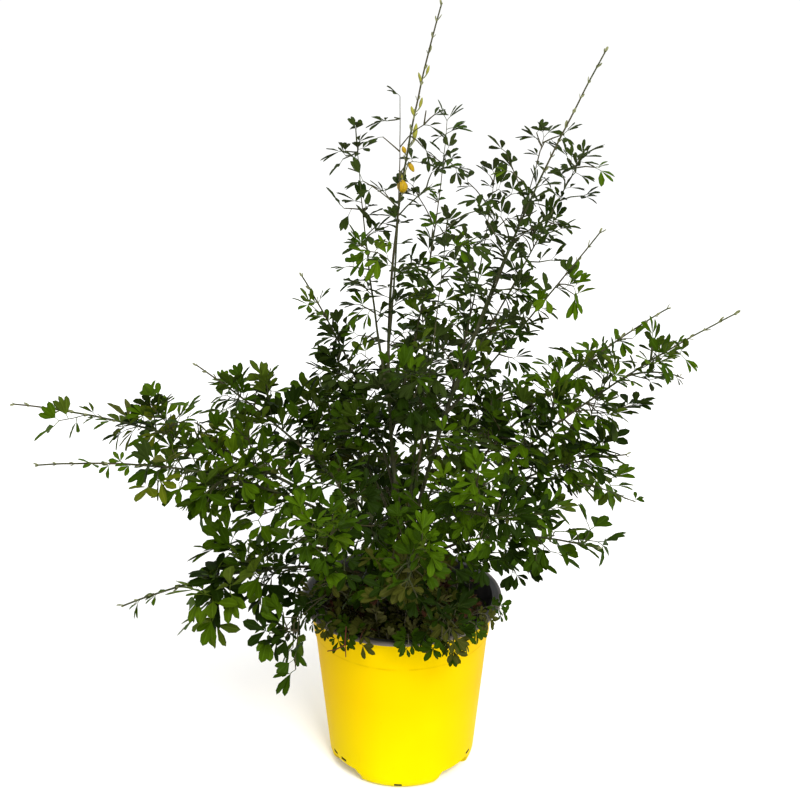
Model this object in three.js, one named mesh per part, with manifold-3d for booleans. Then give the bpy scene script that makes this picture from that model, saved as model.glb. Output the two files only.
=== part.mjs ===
// A broom shrub in a yellow nursery pot: one short woody foot in compost, long whippy boughs
// that fan out of it, and a loose mass of twigs and three-part leaves at the end of each bough.
// Millimetres, +Z up, the origin in the middle of the pot's underside, the shrub seen from -Y.
import * as THREE from "three";
import { mergeVertices } from "three/addons/utils/BufferGeometryUtils.js";
import Module from "manifold-3d";

const wasm = await Module();
wasm.setup();

// Driving sizes of the pot, a thin thermoformed cup that stands on a ring with four arches
const pot = {
  height: 182.5,
  sheet: 1.4, // thickness of the plastic
  facets: 30,
  padRadius: 43, // the flat middle of the underside
  channelHeight: 7, // the raised ring round that pad, which the arches open into
  channelInner: 46.5,
  channelOuter: 59.7,
  footInner: 63.2,
  footOuter: 68.7,
  toeRadius: 73.1, // the rounded corner's middle
  toeHeight: 3.2,
  cornerRadius: 75.2, // the wall's foot, above the rounded corner
  cornerHeight: 9,
  ledgeHeight: 146, // a small step in the wall, where stacked pots rest
  ledgeStep: 1.2,
  rimRadius: 92.5, // the wall's outside just under the lip
  lipRadius: 101,
  lipDrop: 3, // how far the wide lip comes down outside
  lipRound: 1.3,
  archTurns: [47, 128, 227, 308], // degrees from -Y to the middle of each arch
  archHalfAngle: 16,
  archHeight: 13.5,
  archBulge: 1.1, // how far the cutting blocks bulge past the wall, to clear its curve
  slotWidth: 5, // the drain slots over the arches, and in the foot between them
  slotHeight: 2.8,
  slotDepth: 18,
  highSlot: 17.2, // the height of the slots' middles
  lowSlot: 4.9,
  highSlotTurns: [62, 118, 129, 242, 298, 309],
  lowSlotTurns: [176, 356],
};

const gap = 0.3; // between any two pieces that touch

const compost = {
  edgeHeight: 158, // where it meets the pot's wall
  moundHeight: 5, // how much higher it lies round the foot
  moundTop: 30, // radius of its flat top
  slopeRadius: 62, // where its slope gets gentler
  slopeShare: 0.4, // the mound's height there
};

const trunk = {
  flareRadius: 12,
  neckRadius: 8.6,
  forkRadius: 7.4,
  flareHeight: 16,
  height: 66,
  lean: 4, // degrees, towards +X
  sides: 10,
};

const bough = { sides: 5, stepLength: 75, taper: 0.6, bend: 0.5 };
const twig = {
  sides: 3,
  stemTipRadius: 1.3,
  sideShare: 0.52, // a side twig's radius as a share of its stem's
  sideTaper: 0.9,
  bow: 0.5, // how far a stem's arc may stand off its straight pieces
  splay: 48, // degrees between a side twig and its stem
  splayRange: 18,
  shrink: 0.4, // how much shorter the side twigs are at the end of the leafy stretch
  firstAt: 0.3, // where a side twig springs, in steps from the one before, and its range
  atRange: 0.3,
  turn: 137.5, // degrees round the stem from one side twig to the next
  turnRange: 30,
  massTurn: 51, // degrees from one mass's first side twig to the next mass's
  retries: 3, // turns that a twig with no room of its own tries
  retryTurn: 80,
  probes: [0.3, 0.65, 1], // shares of its length where a side twig is tried
  keeps: [0.2, 0.35, 0.65, 0.8], // and where it then keeps leaves off
  leafPlaces: [0.48, 1], // shares of a side twig's length where its leaves are
  stemLeafAfter: 0.45, // how far past a side twig its stem leaf stands, of the way to the next twig
  leafSplay: 78, // degrees between a leaf and the twig that it stands beside
  endSplay: 30, // degrees that a leaf at a twig's end may turn aside
  asideRange: 60, // degrees round a twig in which its leaves stand, trebled half-way along it
};

// A leaf is three leaflets that meet at its root; it is larger than life, to fill the crown
const leaf = {
  length: 42, // of one leaflet
  width: 16.5,
  widest: 0.62, // share of a leaflet's length from its root to its widest place
  fan: 48, // degrees between the middle leaflet and each side one
  notch: 4, // from the root to the inner corners between the leaflets
  hub: 2.4, // from the root to where the upper and lower side stand highest
  root: 0.25, // how far the root lies behind the middle of the twig
  crown: 0.7, // how far the upper side stands over the root, and the lower side under it
  fold: 1.1, // how far the leaflets' edges rise
  droop: 1.8, // how far their tips hang
  outward: 0.8, // how far the light comes from outside the crown, for each part from above
  roll: 50, // degrees that a leaf turns away from the light, either way
  core: 0.4, // how far its inner test points lie from its root's end
  endSize: 0.75, // the size that is tried at a twig's end where a whole leaf has no room
  lowSize: 1.04, // the leaves' size at the rim of the pot and at the top of the crown
  highSize: 0.72,
  lastSize: 0.85, // the size of the one at the end of the leafy stretch
};
const bract = { length: 12, width: 4, thickness: 1.2, spacing: 17, splay: 24, turnRange: 40, sink: 0.6 };
const bloom = { length: 11, width: 8, places: [0.04, 0.2, 0.34], shrink: 0.22 };

// Seeds of the masses' rule, and the range in which lengths and sizes vary
const seed = { first: 1000, step: 77 };
const vary = { low: 0.85, range: 0.3 };

// Space that a twig or leaf keeps
const clear = { neighbour: 1.5, limb: 1.4, pot: 2.5, leaf: 5 };

// How closely the limbs are sampled for the tests of that space
const sampling = { stem: 8, bough: 5, trunk: 5.5, joint: 14 };

// Each shoot is a bough and the leafy stem that goes on from it. tip is where its last leaf or bare
// end reaches, rise the angle at which it starts, share the part of it that is bough, on and at
// where it springs from, spike the part of the leafy stem that is bare towards the tip, spread the
// length of its longest side twigs
const shoots = [
  {
    name: "spire", tip: [34, 0, 752], on: "trunk", at: 1, rise: 100, share: 0.5,
    radius: 2.9, twigs: 3, spike: 0.62, spread: 54, bloom: true,
  },
  {
    name: "right_leader", tip: [174, -20, 714], on: "trunk", at: 0.96, rise: 78, share: 0.5,
    radius: 2.9, twigs: 3, spike: 0.5, spread: 44,
  },
  {
    name: "heart", tip: [42, -44, 590], on: "trunk", at: 0.9, rise: 80, share: 0.26,
    radius: 2.8, twigs: 6, spike: 0, spread: 66,
  },
  {
    name: "spire_left", tip: [-44, 10, 662], on: "spire", at: 0.3, rise: 80, share: 0.34,
    radius: 2.3, twigs: 3, spike: 0, spread: 26,
  },
  {
    name: "spire_mid", tip: [0, -34, 698], on: "spire", at: 0.42, rise: 74, share: 0.27,
    radius: 2.2, twigs: 3, spike: 0, spread: 44,
  },
  {
    name: "spire_right", tip: [46, 44, 668], on: "spire", at: 0.24, rise: 70, share: 0.27,
    radius: 2.3, twigs: 4, spike: 0, spread: 44,
  },
  {
    name: "right_crown", tip: [134, 2, 658], on: "right_leader", at: 0.44, rise: 66, share: 0.27,
    radius: 2.2, twigs: 4, spike: 0, spread: 42,
  },
  {
    name: "right_inner", tip: [92, 52, 616], on: "right_leader", at: 0.26, rise: 66, share: 0.27,
    radius: 2.2, twigs: 5, spike: 0, spread: 50,
  },
  {
    name: "right_outer", tip: [178, 52, 632], on: "right_leader", at: 0.34, rise: 58, share: 0.27,
    radius: 2.2, twigs: 3, spike: 0, spread: 38,
  },
  {
    name: "right_flare", tip: [172, -60, 566], on: "right_leader", at: 0.3, rise: 52, share: 0.27,
    radius: 2.2, twigs: 2, spike: 0.3, spread: 13,
  },
  {
    name: "east_long", tip: [306, -20, 481], on: "trunk", at: 0.82, rise: 52, share: 0.36,
    radius: 2.9, twigs: 5, spike: 0.3, spread: 40,
  },
  {
    name: "east_high", tip: [262, 62, 463], on: "trunk", at: 0.9, rise: 58, share: 0.34,
    radius: 2.8, twigs: 4, spike: 0.34, spread: 26,
  },
  {
    name: "east_low", tip: [238, 100, 292], on: "trunk", at: 0.62, rise: 50, share: 0.32,
    radius: 2.9, twigs: 5, spike: 0.14, spread: 40,
  },
  {
    name: "east_front", tip: [182, -80, 272], on: "trunk", at: 0.6, rise: 50, share: 0.3,
    radius: 2.8, twigs: 4, spike: 0.1, spread: 30,
  },
  {
    name: "rim_right", tip: [54, -146, 212], on: "trunk", at: 0.44, rise: 44, share: 0.3,
    radius: 2.6, twigs: 3, spike: 0, spread: 24,
  },
  {
    name: "west_long", tip: [-378, 20, 378], on: "trunk", at: 0.84, rise: 42, share: 0.34,
    radius: 3.3, twigs: 6, spike: 0.4, spread: 32,
  },
  {
    name: "west_low", tip: [-337, -60, 347], on: "trunk", at: 0.7, rise: 48, share: 0.34,
    radius: 3.1, twigs: 6, spike: 0.4, spread: 30,
  },
  {
    name: "west_high", tip: [-98, 66, 495], on: "trunk", at: 0.98, rise: 81, share: 0.32,
    radius: 2.8, twigs: 4, spike: 0.3, spread: 34,
  },
  {
    name: "west_back", tip: [-212, 104, 390], on: "trunk", at: 0.88, rise: 46, share: 0.32,
    radius: 3, twigs: 5, spike: 0.26, spread: 32,
  },
  {
    name: "southwest_low", tip: [-266, -70, 206], on: "trunk", at: 0.52, rise: 23, share: 0.3,
    radius: 3, twigs: 5, spike: 0.46, spread: 40,
  },
  {
    name: "southwest_droop", tip: [-128, -120, 200], on: "trunk", at: 0.4, rise: 58, share: 0.3,
    radius: 2.8, twigs: 5, spike: 0, spread: 36,
  },
  {
    name: "front_left", tip: [-96, -178, 336], on: "trunk", at: 0.72, rise: 66, share: 0.3,
    radius: 2.9, twigs: 5, spike: 0, spread: 64,
  },
  {
    name: "front_centre", tip: [6, -200, 302], on: "trunk", at: 0.56, rise: 62, share: 0.3,
    radius: 2.8, twigs: 5, spike: 0, spread: 66,
  },
  {
    name: "front_right", tip: [92, -164, 352], on: "trunk", at: 0.76, rise: 66, share: 0.3,
    radius: 2.9, twigs: 5, spike: 0, spread: 72,
  },
  {
    name: "back_left", tip: [-98, 186, 312], on: "trunk", at: 0.74, rise: 62, share: 0.34,
    radius: 2.9, twigs: 5, spike: 0.1, spread: 54,
  },
  {
    name: "back_centre", tip: [36, 214, 396], on: "trunk", at: 0.8, rise: 64, share: 0.34,
    radius: 2.9, twigs: 5, spike: 0.1, spread: 70,
  },
  {
    name: "back_right", tip: [106, 186, 316], on: "trunk", at: 0.7, rise: 62, share: 0.34,
    radius: 2.9, twigs: 4, spike: 0.1, spread: 54,
  },
  {
    name: "back_low", tip: [-26, 212, 232], on: "trunk", at: 0.46, rise: 50, share: 0.34,
    radius: 2.7, twigs: 4, spike: 0, spread: 66,
  },
];

const colours = {
  plastic: [0xf5d200, 0.45],
  compost: [0x1d1511, 0.95],
  bark: [0x4a4a2c, 0.85],
  leaf: [0x2f5212, 0.6],
};

const crownTop = 640; // where the leaves end, under the bare spikes

const radians = THREE.MathUtils.degToRad;
const vector = (x, y, z) => new THREE.Vector3(x, y, z);
const up = vector(0, 0, 1);

// The same numbers on every run, from a whole-number seed
function draws(seed) {
  let state = seed;
  return () => {
    state = (state + 0x6d2b79f5) | 0;
    let mixed = Math.imul(state ^ (state >>> 15), 1 | state);
    mixed = (mixed + Math.imul(mixed ^ (mixed >>> 7), 61 | mixed)) ^ mixed;
    return ((mixed ^ (mixed >>> 14)) >>> 0) / 4294967296;
  };
}

function solidOf(geometry) {
  geometry.deleteAttribute("normal");
  geometry.deleteAttribute("uv");
  const merged = mergeVertices(geometry, 1e-4);
  return new wasm.Manifold(
    new wasm.Mesh({
      numProp: 3,
      vertProperties: merged.attributes.position.array,
      triVerts: new Uint32Array(merged.index.array),
    }),
  );
}

// The largest body of a solid, without the scraps that a cut may leave
function largestBody(solid) {
  return solid.decompose().reduce((a, b) => (b.volume() > a.volume() ? b : a));
}

function meshOf(solid, name, finish) {
  const made = solid.getMesh();
  const geometry = new THREE.BufferGeometry();
  geometry.setAttribute("position", new THREE.BufferAttribute(Float32Array.from(made.vertProperties), 3));
  geometry.setIndex(new THREE.BufferAttribute(Uint32Array.from(made.triVerts), 1));
  geometry.computeVertexNormals();
  const [color, roughness] = finish;
  const mesh = new THREE.Mesh(geometry, new THREE.MeshStandardMaterial({ color, roughness, metalness: 0 }));
  mesh.name = name;
  return mesh;
}

function turned(profile, facets) {
  const points = profile.map(([radius, height]) => new THREE.Vector2(radius, height));
  const geometry = new THREE.LatheGeometry(points, facets);
  geometry.rotateX(Math.PI / 2);
  return solidOf(geometry);
}

// The wall's outer radius at a height above the corner
function wallRadius(height) {
  const share = (height - pot.cornerHeight) / (pot.height - pot.cornerHeight);
  const step = height > pot.ledgeHeight ? pot.ledgeStep : 0;
  return pot.cornerRadius + (pot.rimRadius - pot.ledgeStep - pot.cornerRadius) * share + step;
}

// The underside and wall from the axis up to the ledge, taken in by an offset
function cupProfile(offset) {
  return [
    [0, offset],
    [pot.padRadius - offset / 2, offset],
    [pot.channelInner - offset, pot.channelHeight + offset],
    [pot.channelOuter + offset, pot.channelHeight + offset],
    [pot.footInner + offset / 2, offset],
    [pot.footOuter - offset / 2, offset],
    [pot.toeRadius - offset, pot.toeHeight + offset / 2],
    [pot.cornerRadius - offset, pot.cornerHeight],
  ];
}

// Blocks that leave the arches when they are cut away, widened by a margin on sides and top
function archBlocks(margin) {
  const half = radians(pot.archHalfAngle);
  const inner = pot.channelInner + margin;
  const outer = pot.lipRadius;
  let blocks = null;
  for (const turn of pot.archTurns) {
    const middle = radians(turn - 90);
    const corner = (radius, side) => {
      const angle = middle + side * half;
      return [
        radius * Math.cos(angle) - side * margin * Math.sin(angle),
        radius * Math.sin(angle) + side * margin * Math.cos(angle),
      ];
    };
    const shape = new THREE.Shape();
    shape.moveTo(...corner(inner, -1));
    shape.lineTo(...corner(outer, -1));
    shape.lineTo(...corner(outer * pot.archBulge, 0));
    shape.lineTo(...corner(outer, 1));
    shape.lineTo(...corner(inner, 1));
    const high = pot.archHeight + margin;
    const geometry = new THREE.ExtrudeGeometry(shape, { depth: 2 * high, bevelEnabled: false });
    geometry.translate(0, 0, -high);
    const block = solidOf(geometry);
    blocks = blocks ? blocks.add(block) : block;
  }
  return blocks;
}

// Small slots through the wall's foot, as the photo shows them, and their likes at the back
function drainSlots() {
  let slots = null;
  const cut = (degrees, height) => {
    const geometry = new THREE.BoxGeometry(pot.slotDepth, pot.slotWidth, pot.slotHeight);
    geometry.translate(pot.cornerRadius, 0, height);
    geometry.rotateZ(radians(degrees - 90));
    const slot = solidOf(geometry);
    slots = slots ? slots.add(slot) : slot;
  };
  pot.highSlotTurns.forEach((turn) => cut(turn, pot.highSlot));
  pot.lowSlotTurns.forEach((turn) => cut(turn, pot.lowSlot));
  return slots;
}

function makePot() {
  const under = pot.height - pot.lipDrop;
  const outside = turned(
    [
      ...cupProfile(0),
      [wallRadius(pot.ledgeHeight), pot.ledgeHeight - 1],
      [wallRadius(pot.ledgeHeight + 1), pot.ledgeHeight + 1],
      [wallRadius(under), under],
      [pot.lipRadius, under - pot.lipRound / 2],
      [pot.lipRadius, pot.height - pot.lipRound],
      [pot.lipRadius - pot.lipRound, pot.height],
      [0, pot.height],
    ],
    pot.facets,
  );
  const over = pot.height + 1;
  const cavity = [...cupProfile(pot.sheet), [wallRadius(over) - pot.sheet, over], [0, over]];
  const inside = turned(cavity, pot.facets);
  const cup = outside.subtract(archBlocks(0)).subtract(inside.subtract(archBlocks(pot.sheet)));
  return cup.subtract(drainSlots());
}

// The compost rests on the roofs of the arches and fills the pot up to a low mound
function makeCompost() {
  const reach = (height) => wallRadius(height) - pot.sheet - gap;
  const base = pot.archHeight + pot.sheet + gap;
  const { edgeHeight, moundHeight, moundTop, slopeRadius, slopeShare } = compost;
  return turned(
    [
      [0, base],
      [reach(base) - 1, base],
      [reach(edgeHeight) - pot.ledgeStep, edgeHeight],
      [slopeRadius, edgeHeight + moundHeight * slopeShare],
      [moundTop, edgeHeight + moundHeight],
      [0, edgeHeight + moundHeight],
    ],
    pot.facets,
  );
}

// A tapering limb: a cylinder whose rings are set along a curve that lies in one upright plane.
// at(t) gives the middle of a ring, radius(t) its size; grown makes it wider and longer
function limb(at, radius, sides, steps, from, to, side, grown = 0) {
  const geometry = new THREE.CylinderGeometry(1, 1, 1, sides, steps);
  const place = geometry.attributes.position;
  for (let i = 0; i < place.count; i++) {
    const share = THREE.MathUtils.clamp(place.getY(i) + 0.5, 0, 1);
    const t = from + (to - from) * share;
    const middle = at(t);
    const along = at(t + 0.002).sub(at(t - 0.002)).normalize();
    const across = along.clone().cross(side).normalize();
    const size = radius(t) + grown;
    const ring = middle
      .addScaledVector(side, place.getZ(i) * size)
      .addScaledVector(across, place.getX(i) * size)
      .addScaledVector(along, grown * (share === 0 ? -1 : share === 1 ? 1 : 0));
    place.setXYZ(i, ring.x, ring.y, ring.z);
  }
  return solidOf(geometry);
}

const trunkFoot = compost.edgeHeight + compost.moundHeight + gap;
const trunkAt = (share) =>
  vector(Math.tan(radians(trunk.lean)) * trunk.height * share, 0, trunkFoot + trunk.height * share);

function trunkRadius(share) {
  const flare = trunk.flareHeight / trunk.height;
  if (share < flare) {
    const rest = 1 - share / flare;
    return trunk.neckRadius + (trunk.flareRadius - trunk.neckRadius) * rest * rest;
  }
  return THREE.MathUtils.mapLinear(share, flare, 1, trunk.neckRadius, trunk.forkRadius);
}

function makeTrunk(grown = 0) {
  const long = limb(trunkAt, trunkRadius, trunk.sides, 6, 0, 1, vector(0, 1, 0), grown);
  return grown ? long : long.trimByPlane([0, 0, 1], trunkFoot);
}

// A shoot's centre line, one arc from its foot to its tip in an upright plane
function shootLine(shoot, made) {
  const foot = shoot.on === "trunk" ? trunkAt(shoot.at) : made.get(shoot.on).at(shoot.at);
  const reach = vector(...shoot.tip);
  const lastLeaf = shoot.spike ? 0 : leaf.length * leaf.highSize;
  const tip = reach.clone().addScaledVector(reach.clone().sub(foot).normalize(), -lastLeaf);
  const flat = vector(tip.x - foot.x, tip.y - foot.y, 0).normalize();
  const rise = radians(shoot.rise);
  const start = flat.clone().multiplyScalar(Math.cos(rise)).addScaledVector(up, Math.sin(rise));
  const bend = foot.clone().addScaledVector(start, foot.distanceTo(tip) * bough.bend);
  const at = (t) =>
    foot
      .clone()
      .multiplyScalar((1 - t) * (1 - t))
      .addScaledVector(bend, 2 * t * (1 - t))
      .addScaledVector(tip, t * t);
  const length = (foot.distanceTo(bend) + bend.distanceTo(tip) + foot.distanceTo(tip)) / 2;
  const side = flat.clone().cross(up).normalize();
  const end = shoot.radius * bough.taper;
  const radius = (t) =>
    t < shoot.share
      ? THREE.MathUtils.mapLinear(t, 0, shoot.share, shoot.radius, end)
      : THREE.MathUtils.mapLinear(t, shoot.share, 1, end, twig.stemTipRadius);
  return { ...shoot, at, length, side, radius };
}

// How many straight pieces a stretch of a shoot's arc takes to stay near it
function piecesOf(line, from, to) {
  const bow = line.at(0).add(line.at(1)).addScaledVector(line.at(0.5), -2).length();
  return Math.max(2, Math.ceil((to - from) / Math.sqrt((2 * twig.bow) / bow)));
}

function boughSolid(line, grown = 0) {
  const steps = Math.max(2, Math.round((line.length * line.share) / bough.stepLength));
  return limb(line.at, line.radius, bough.sides, steps, 0, line.share, line.side, grown);
}

// Points along every bough and leafy stem, which keep twigs and leaves apart
function samples(line, from, to, spacing) {
  const count = Math.ceil((line.length * (to - from)) / spacing);
  return Array.from({ length: count + 1 }, (_, i) => {
    const t = from + ((to - from) * i) / count;
    return { point: line.at(t), radius: line.radius(t) };
  });
}

function insidePot(point) {
  return point.z < pot.height + clear.pot && Math.hypot(point.x, point.y) < pot.lipRadius + clear.pot;
}

// True if a point lies in a mass's own space, clear of the limbs, the pot and the compost
function isFree(point, own, width, stems, limbs) {
  if (insidePot(point) || point.z < clear.pot) return false;
  let mine = Infinity;
  let other = Infinity;
  stems.forEach((stem, name) => {
    for (const s of stem) {
      const distance = point.distanceTo(s.point);
      if (name === own) mine = Math.min(mine, distance);
      else other = Math.min(other, distance);
    }
  });
  if (mine + clear.neighbour > other) return false;
  return limbs.every((s) => point.distanceTo(s.point) > s.radius + width + clear.limb);
}

// The outline of a leaf in its own plane, anticlockwise from its root: along and across the leaf,
// and height over it
function leafOutline(length, width) {
  const points = [[-leaf.root, 0, 0]];
  [-1, 0, 1].forEach((k, i) => {
    const turn = radians(k * leaf.fan);
    const place = (along, across, height) => [
      leaf.notch / 2 + along * Math.cos(turn) - across * Math.sin(turn),
      along * Math.sin(turn) + across * Math.cos(turn),
      height,
    ];
    if (i > 0) {
      const between = radians((k - 0.5) * leaf.fan);
      points.push([leaf.notch * Math.cos(between), leaf.notch * Math.sin(between), 0]);
    }
    points.push(place(length * leaf.widest, -width / 2, leaf.fold));
    points.push(place(length, 0, -leaf.droop));
    points.push(place(length * leaf.widest, width / 2, leaf.fold));
  });
  return points;
}

// A leaf as one closed body: two blunt pyramids, over and under its outline
function leafSolid(points) {
  const corners = points.outline.length;
  const geometry = new THREE.SphereGeometry(1, corners, 2);
  const place = geometry.attributes.position;
  for (let i = 0; i < place.count; i++) {
    const row = Math.floor(i / (corners + 1));
    const corner = (i % (corners + 1)) % corners;
    const p = row === 0 ? points.over : row === 2 ? points.under : points.outline[corner];
    place.setXYZ(i, p.x, p.y, p.z);
  }
  return solidOf(geometry);
}

// A leaf's points in space, from its node, the way it points and the way its upper side faces
function leafPoints(node, along, face, scale) {
  const across = face.clone().cross(along).normalize();
  const place = ([u, v, w]) =>
    node.clone().addScaledVector(along, u).addScaledVector(across, v).addScaledVector(face, w);
  return {
    outline: leafOutline(leaf.length * scale, leaf.width * scale).map(place),
    over: place([leaf.hub, 0, leaf.crown]),
    under: place([leaf.hub, 0, -leaf.crown]),
  };
}

// A direction that leaves a stem at an angle, on the side that turn gives
function splayedFrom(along, side, turn, splay) {
  const radial = side.clone().applyAxisAngle(along, radians(turn));
  return along.clone().multiplyScalar(Math.cos(splay)).addScaledVector(radial, Math.sin(splay));
}

const alongAt = (line, t) => line.at(t + 0.002).sub(line.at(t - 0.002)).normalize();

// A leafy mass by its seeded rule: the stem that goes on from the bough, side twigs in a spiral
// round it, and leaves on the side twigs and at the end of the leafy stretch
function massSolid(line, index, stems, limbs) {
  const draw = draws(seed.first + index * seed.step);
  const size = () => vary.low + vary.range * draw();
  const first = line.share + gap / line.length;
  const leafyEnd = 1 - (1 - line.share) * line.spike;
  const steps = piecesOf(line, first, 1);
  const outward = line.at(1).sub(trunkAt(1)).setZ(0).normalize();
  const light = outward.multiplyScalar(leaf.outward).add(up).normalize();
  const free = (point, width) => isFree(point, line.name, width, stems, limbs);
  let mass = limb(line.at, line.radius, twig.sides, steps, first, 1, line.side);
  const taken = samples(line, first, 1, sampling.stem).map((s) => s.point);

  // Adds a leaf at a node in the first of some directions where it has room, and says if there was one
  const addLeaf = (node, directions, scale, roll) => {
    const whole = THREE.MathUtils.mapLinear(node.z, pot.height, crownTop, leaf.lowSize, leaf.highSize);
    for (const along of directions) {
      const face = light.clone().applyAxisAngle(along, radians(roll * leaf.roll));
      face.addScaledVector(along, -face.dot(along)).normalize();
      const points = leafPoints(node, along, face, scale * whole);
      const ends = points.outline.filter((_, i) => i % 4 !== 0);
      const spots = ends.flatMap((p) => [p, p.clone().lerp(node, leaf.core)]);
      const isOpen = spots.every((p) => taken.every((q) => p.distanceTo(q) > clear.leaf));
      if (isOpen && ends.every((p) => free(p, leaf.crown))) {
        mass = mass.add(leafSolid(points));
        taken.push(...spots);
        return true;
      }
    }
    return false;
  };
  // Four ways that stand off a stem, a quarter turn apart
  const around = (along, side, turn) =>
    [0, 90, -90, 180].map((k) => splayedFrom(along, side, turn + k, radians(twig.leafSplay)));

  for (let j = 0; j < line.twigs; j++) {
    const share = (j + twig.firstAt + twig.atRange * draw()) / line.twigs;
    const t = first + (leafyEnd - first) * share;
    const node = line.at(t);
    const splay = radians(twig.splay + twig.splayRange * (draw() - 0.5));
    const long = line.spread * (1 - twig.shrink * share) * size();
    const turn = j * twig.turn + index * twig.massTurn + twig.turnRange * draw();
    const stemLeaf = [2 * draw() - 1, size()];
    const rolls = twig.leafPlaces.map(() => [2 * draw() - 1, size(), twig.asideRange * (draw() - 0.5)]);
    let direction = null;
    for (let k = 0; k < twig.retries && !direction; k++) {
      const tried = splayedFrom(alongAt(line, t), line.side, turn + k * twig.retryTurn, splay);
      const probes = twig.probes.map((s) => node.clone().addScaledVector(tried, long * s));
      const isOpen = probes.every((p) => taken.every((q) => p.distanceTo(q) > clear.leaf));
      if (isOpen && probes.every((p) => free(p, twig.stemTipRadius))) direction = tried;
    }
    const after = t + ((leafyEnd - first) * twig.stemLeafAfter) / line.twigs;
    addLeaf(line.at(after), around(alongAt(line, after), line.side, turn + 180), stemLeaf[1], stemLeaf[0]);
    if (!direction) continue;
    const twigAt = (s) => node.clone().addScaledVector(direction, long * s);
    const thick = line.radius(t) * twig.sideShare;
    const twigRadius = (s) => THREE.MathUtils.lerp(thick, thick * twig.sideTaper, s);
    const side = direction.clone().cross(up).normalize();
    mass = mass.add(limb(twigAt, twigRadius, twig.sides, 1, 0, 1, side));
    taken.push(...twig.keeps.map(twigAt));
    twig.leafPlaces.forEach((place, i) => {
      const [roll, scale, aside] = rolls[i];
      const endSplay = (k) => (k ? radians(twig.endSplay) : 0);
      const ahead = [0, 90, -90].map((k) => splayedFrom(direction, side, k, endSplay(k)));
      if (place < 1) addLeaf(twigAt(place), around(direction, side, 90 + 3 * aside), scale, roll);
      else addLeaf(twigAt(1), ahead, scale, roll) || addLeaf(twigAt(1), ahead, scale * leaf.endSize, roll);
    });
  }
  addLeaf(line.at(Math.min(leafyEnd, 0.995)), [alongAt(line, leafyEnd - 0.01)], leaf.lastSize, 0);
  if (line.spike) mass = addBracts(mass, line, leafyEnd, draw);
  if (line.bloom) mass = addBlooms(mass, line, leafyEnd);
  return largestBody(mass);
}

// A six-faced scale from its root along a direction, its flat side the way that face points
function bractSolid(root, direction, face) {
  const geometry = new THREE.SphereGeometry(1, 3, 2);
  const place = geometry.attributes.position;
  const across = face.clone().cross(direction).normalize();
  for (let i = 0; i < place.count; i++) {
    const p = root
      .clone()
      .addScaledVector(direction, ((place.getY(i) + 1) * bract.length) / 2)
      .addScaledVector(across, (place.getZ(i) * bract.width) / 2)
      .addScaledVector(face, place.getX(i) * bract.thickness);
    place.setXYZ(i, p.x, p.y, p.z);
  }
  return solidOf(geometry);
}

// Small leaves that hug the bare end of a shoot
function addBracts(mass, line, from, draw) {
  const count = Math.floor((line.length * (1 - from)) / bract.spacing);
  for (let i = 1; i < count; i++) {
    const t = from + ((1 - from) * i) / count;
    const turn = i * twig.turn + bract.turnRange * draw();
    const direction = splayedFrom(alongAt(line, t), line.side, turn, radians(bract.splay));
    const radial = splayedFrom(alongAt(line, t), line.side, turn, Math.PI / 2);
    const root = line.at(t).addScaledVector(direction, -bract.sink);
    mass = mass.add(bractSolid(root, direction, radial));
  }
  return mass;
}

// The few yellow blossoms low on the flowering spike, the lowest the largest
function addBlooms(mass, line, from) {
  bloom.places.forEach((share, i) => {
    const t = from + (1 - from) * share;
    const scale = 1 - bloom.shrink * i;
    const geometry = new THREE.OctahedronGeometry(1, 0);
    geometry.scale((bloom.width * scale) / 2, (bloom.width * scale) / 2, (bloom.length * scale) / 2);
    const middle = line.at(t);
    geometry.translate(middle.x, middle.y, middle.z);
    mass = mass.add(solidOf(geometry));
  });
  return mass;
}

// All limbs, each cut clear of those made before it
function makeLimbs(lines) {
  const solids = new Map();
  const grown = [makeTrunk(gap)];
  for (const line of lines.values()) {
    let solid = boughSolid(line);
    for (const other of grown) solid = solid.subtract(other);
    solids.set(line.name, largestBody(solid));
    grown.push(boughSolid(line, gap));
  }
  return solids;
}

function makeShrub() {
  const lines = new Map();
  shoots.forEach((shoot) => lines.set(shoot.name, shootLine(shoot, lines)));
  const stems = new Map();
  const limbs = [];
  lines.forEach((line) => {
    stems.set(line.name, samples(line, line.share, 1, sampling.stem));
    limbs.push(...samples(line, 0, line.share, sampling.bough));
  });
  limbs.push(...samples({ at: trunkAt, radius: trunkRadius, length: trunk.height }, 0, 1, sampling.trunk));
  const boughs = makeLimbs(lines);
  const group = new THREE.Group();
  group.add(meshOf(makeTrunk(), "trunk", colours.bark));
  let index = 0;
  for (const line of lines.values()) {
    group.add(meshOf(boughs.get(line.name), `bough_${line.name}`, colours.bark));
    const limbsNear = limbs.filter((s) => s.point.distanceTo(line.at(line.share)) > sampling.joint);
    group.add(meshOf(massSolid(line, index, stems, limbsNear), `foliage_${line.name}`, colours.leaf));
    index++;
  }
  return group;
}

const plant = new THREE.Group();
plant.add(meshOf(makePot(), "pot", colours.plastic));
plant.add(meshOf(makeCompost(), "compost", colours.compost));
plant.add(makeShrub());

export default plant;
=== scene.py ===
# A broom shrub in its yellow nursery pot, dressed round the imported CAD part.
# Sizes are in millimetres and are brought to metres where a mesh is made.
import math
import bmesh
import bpy
import numpy as np
from mathutils import Matrix, Vector, noise


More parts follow.
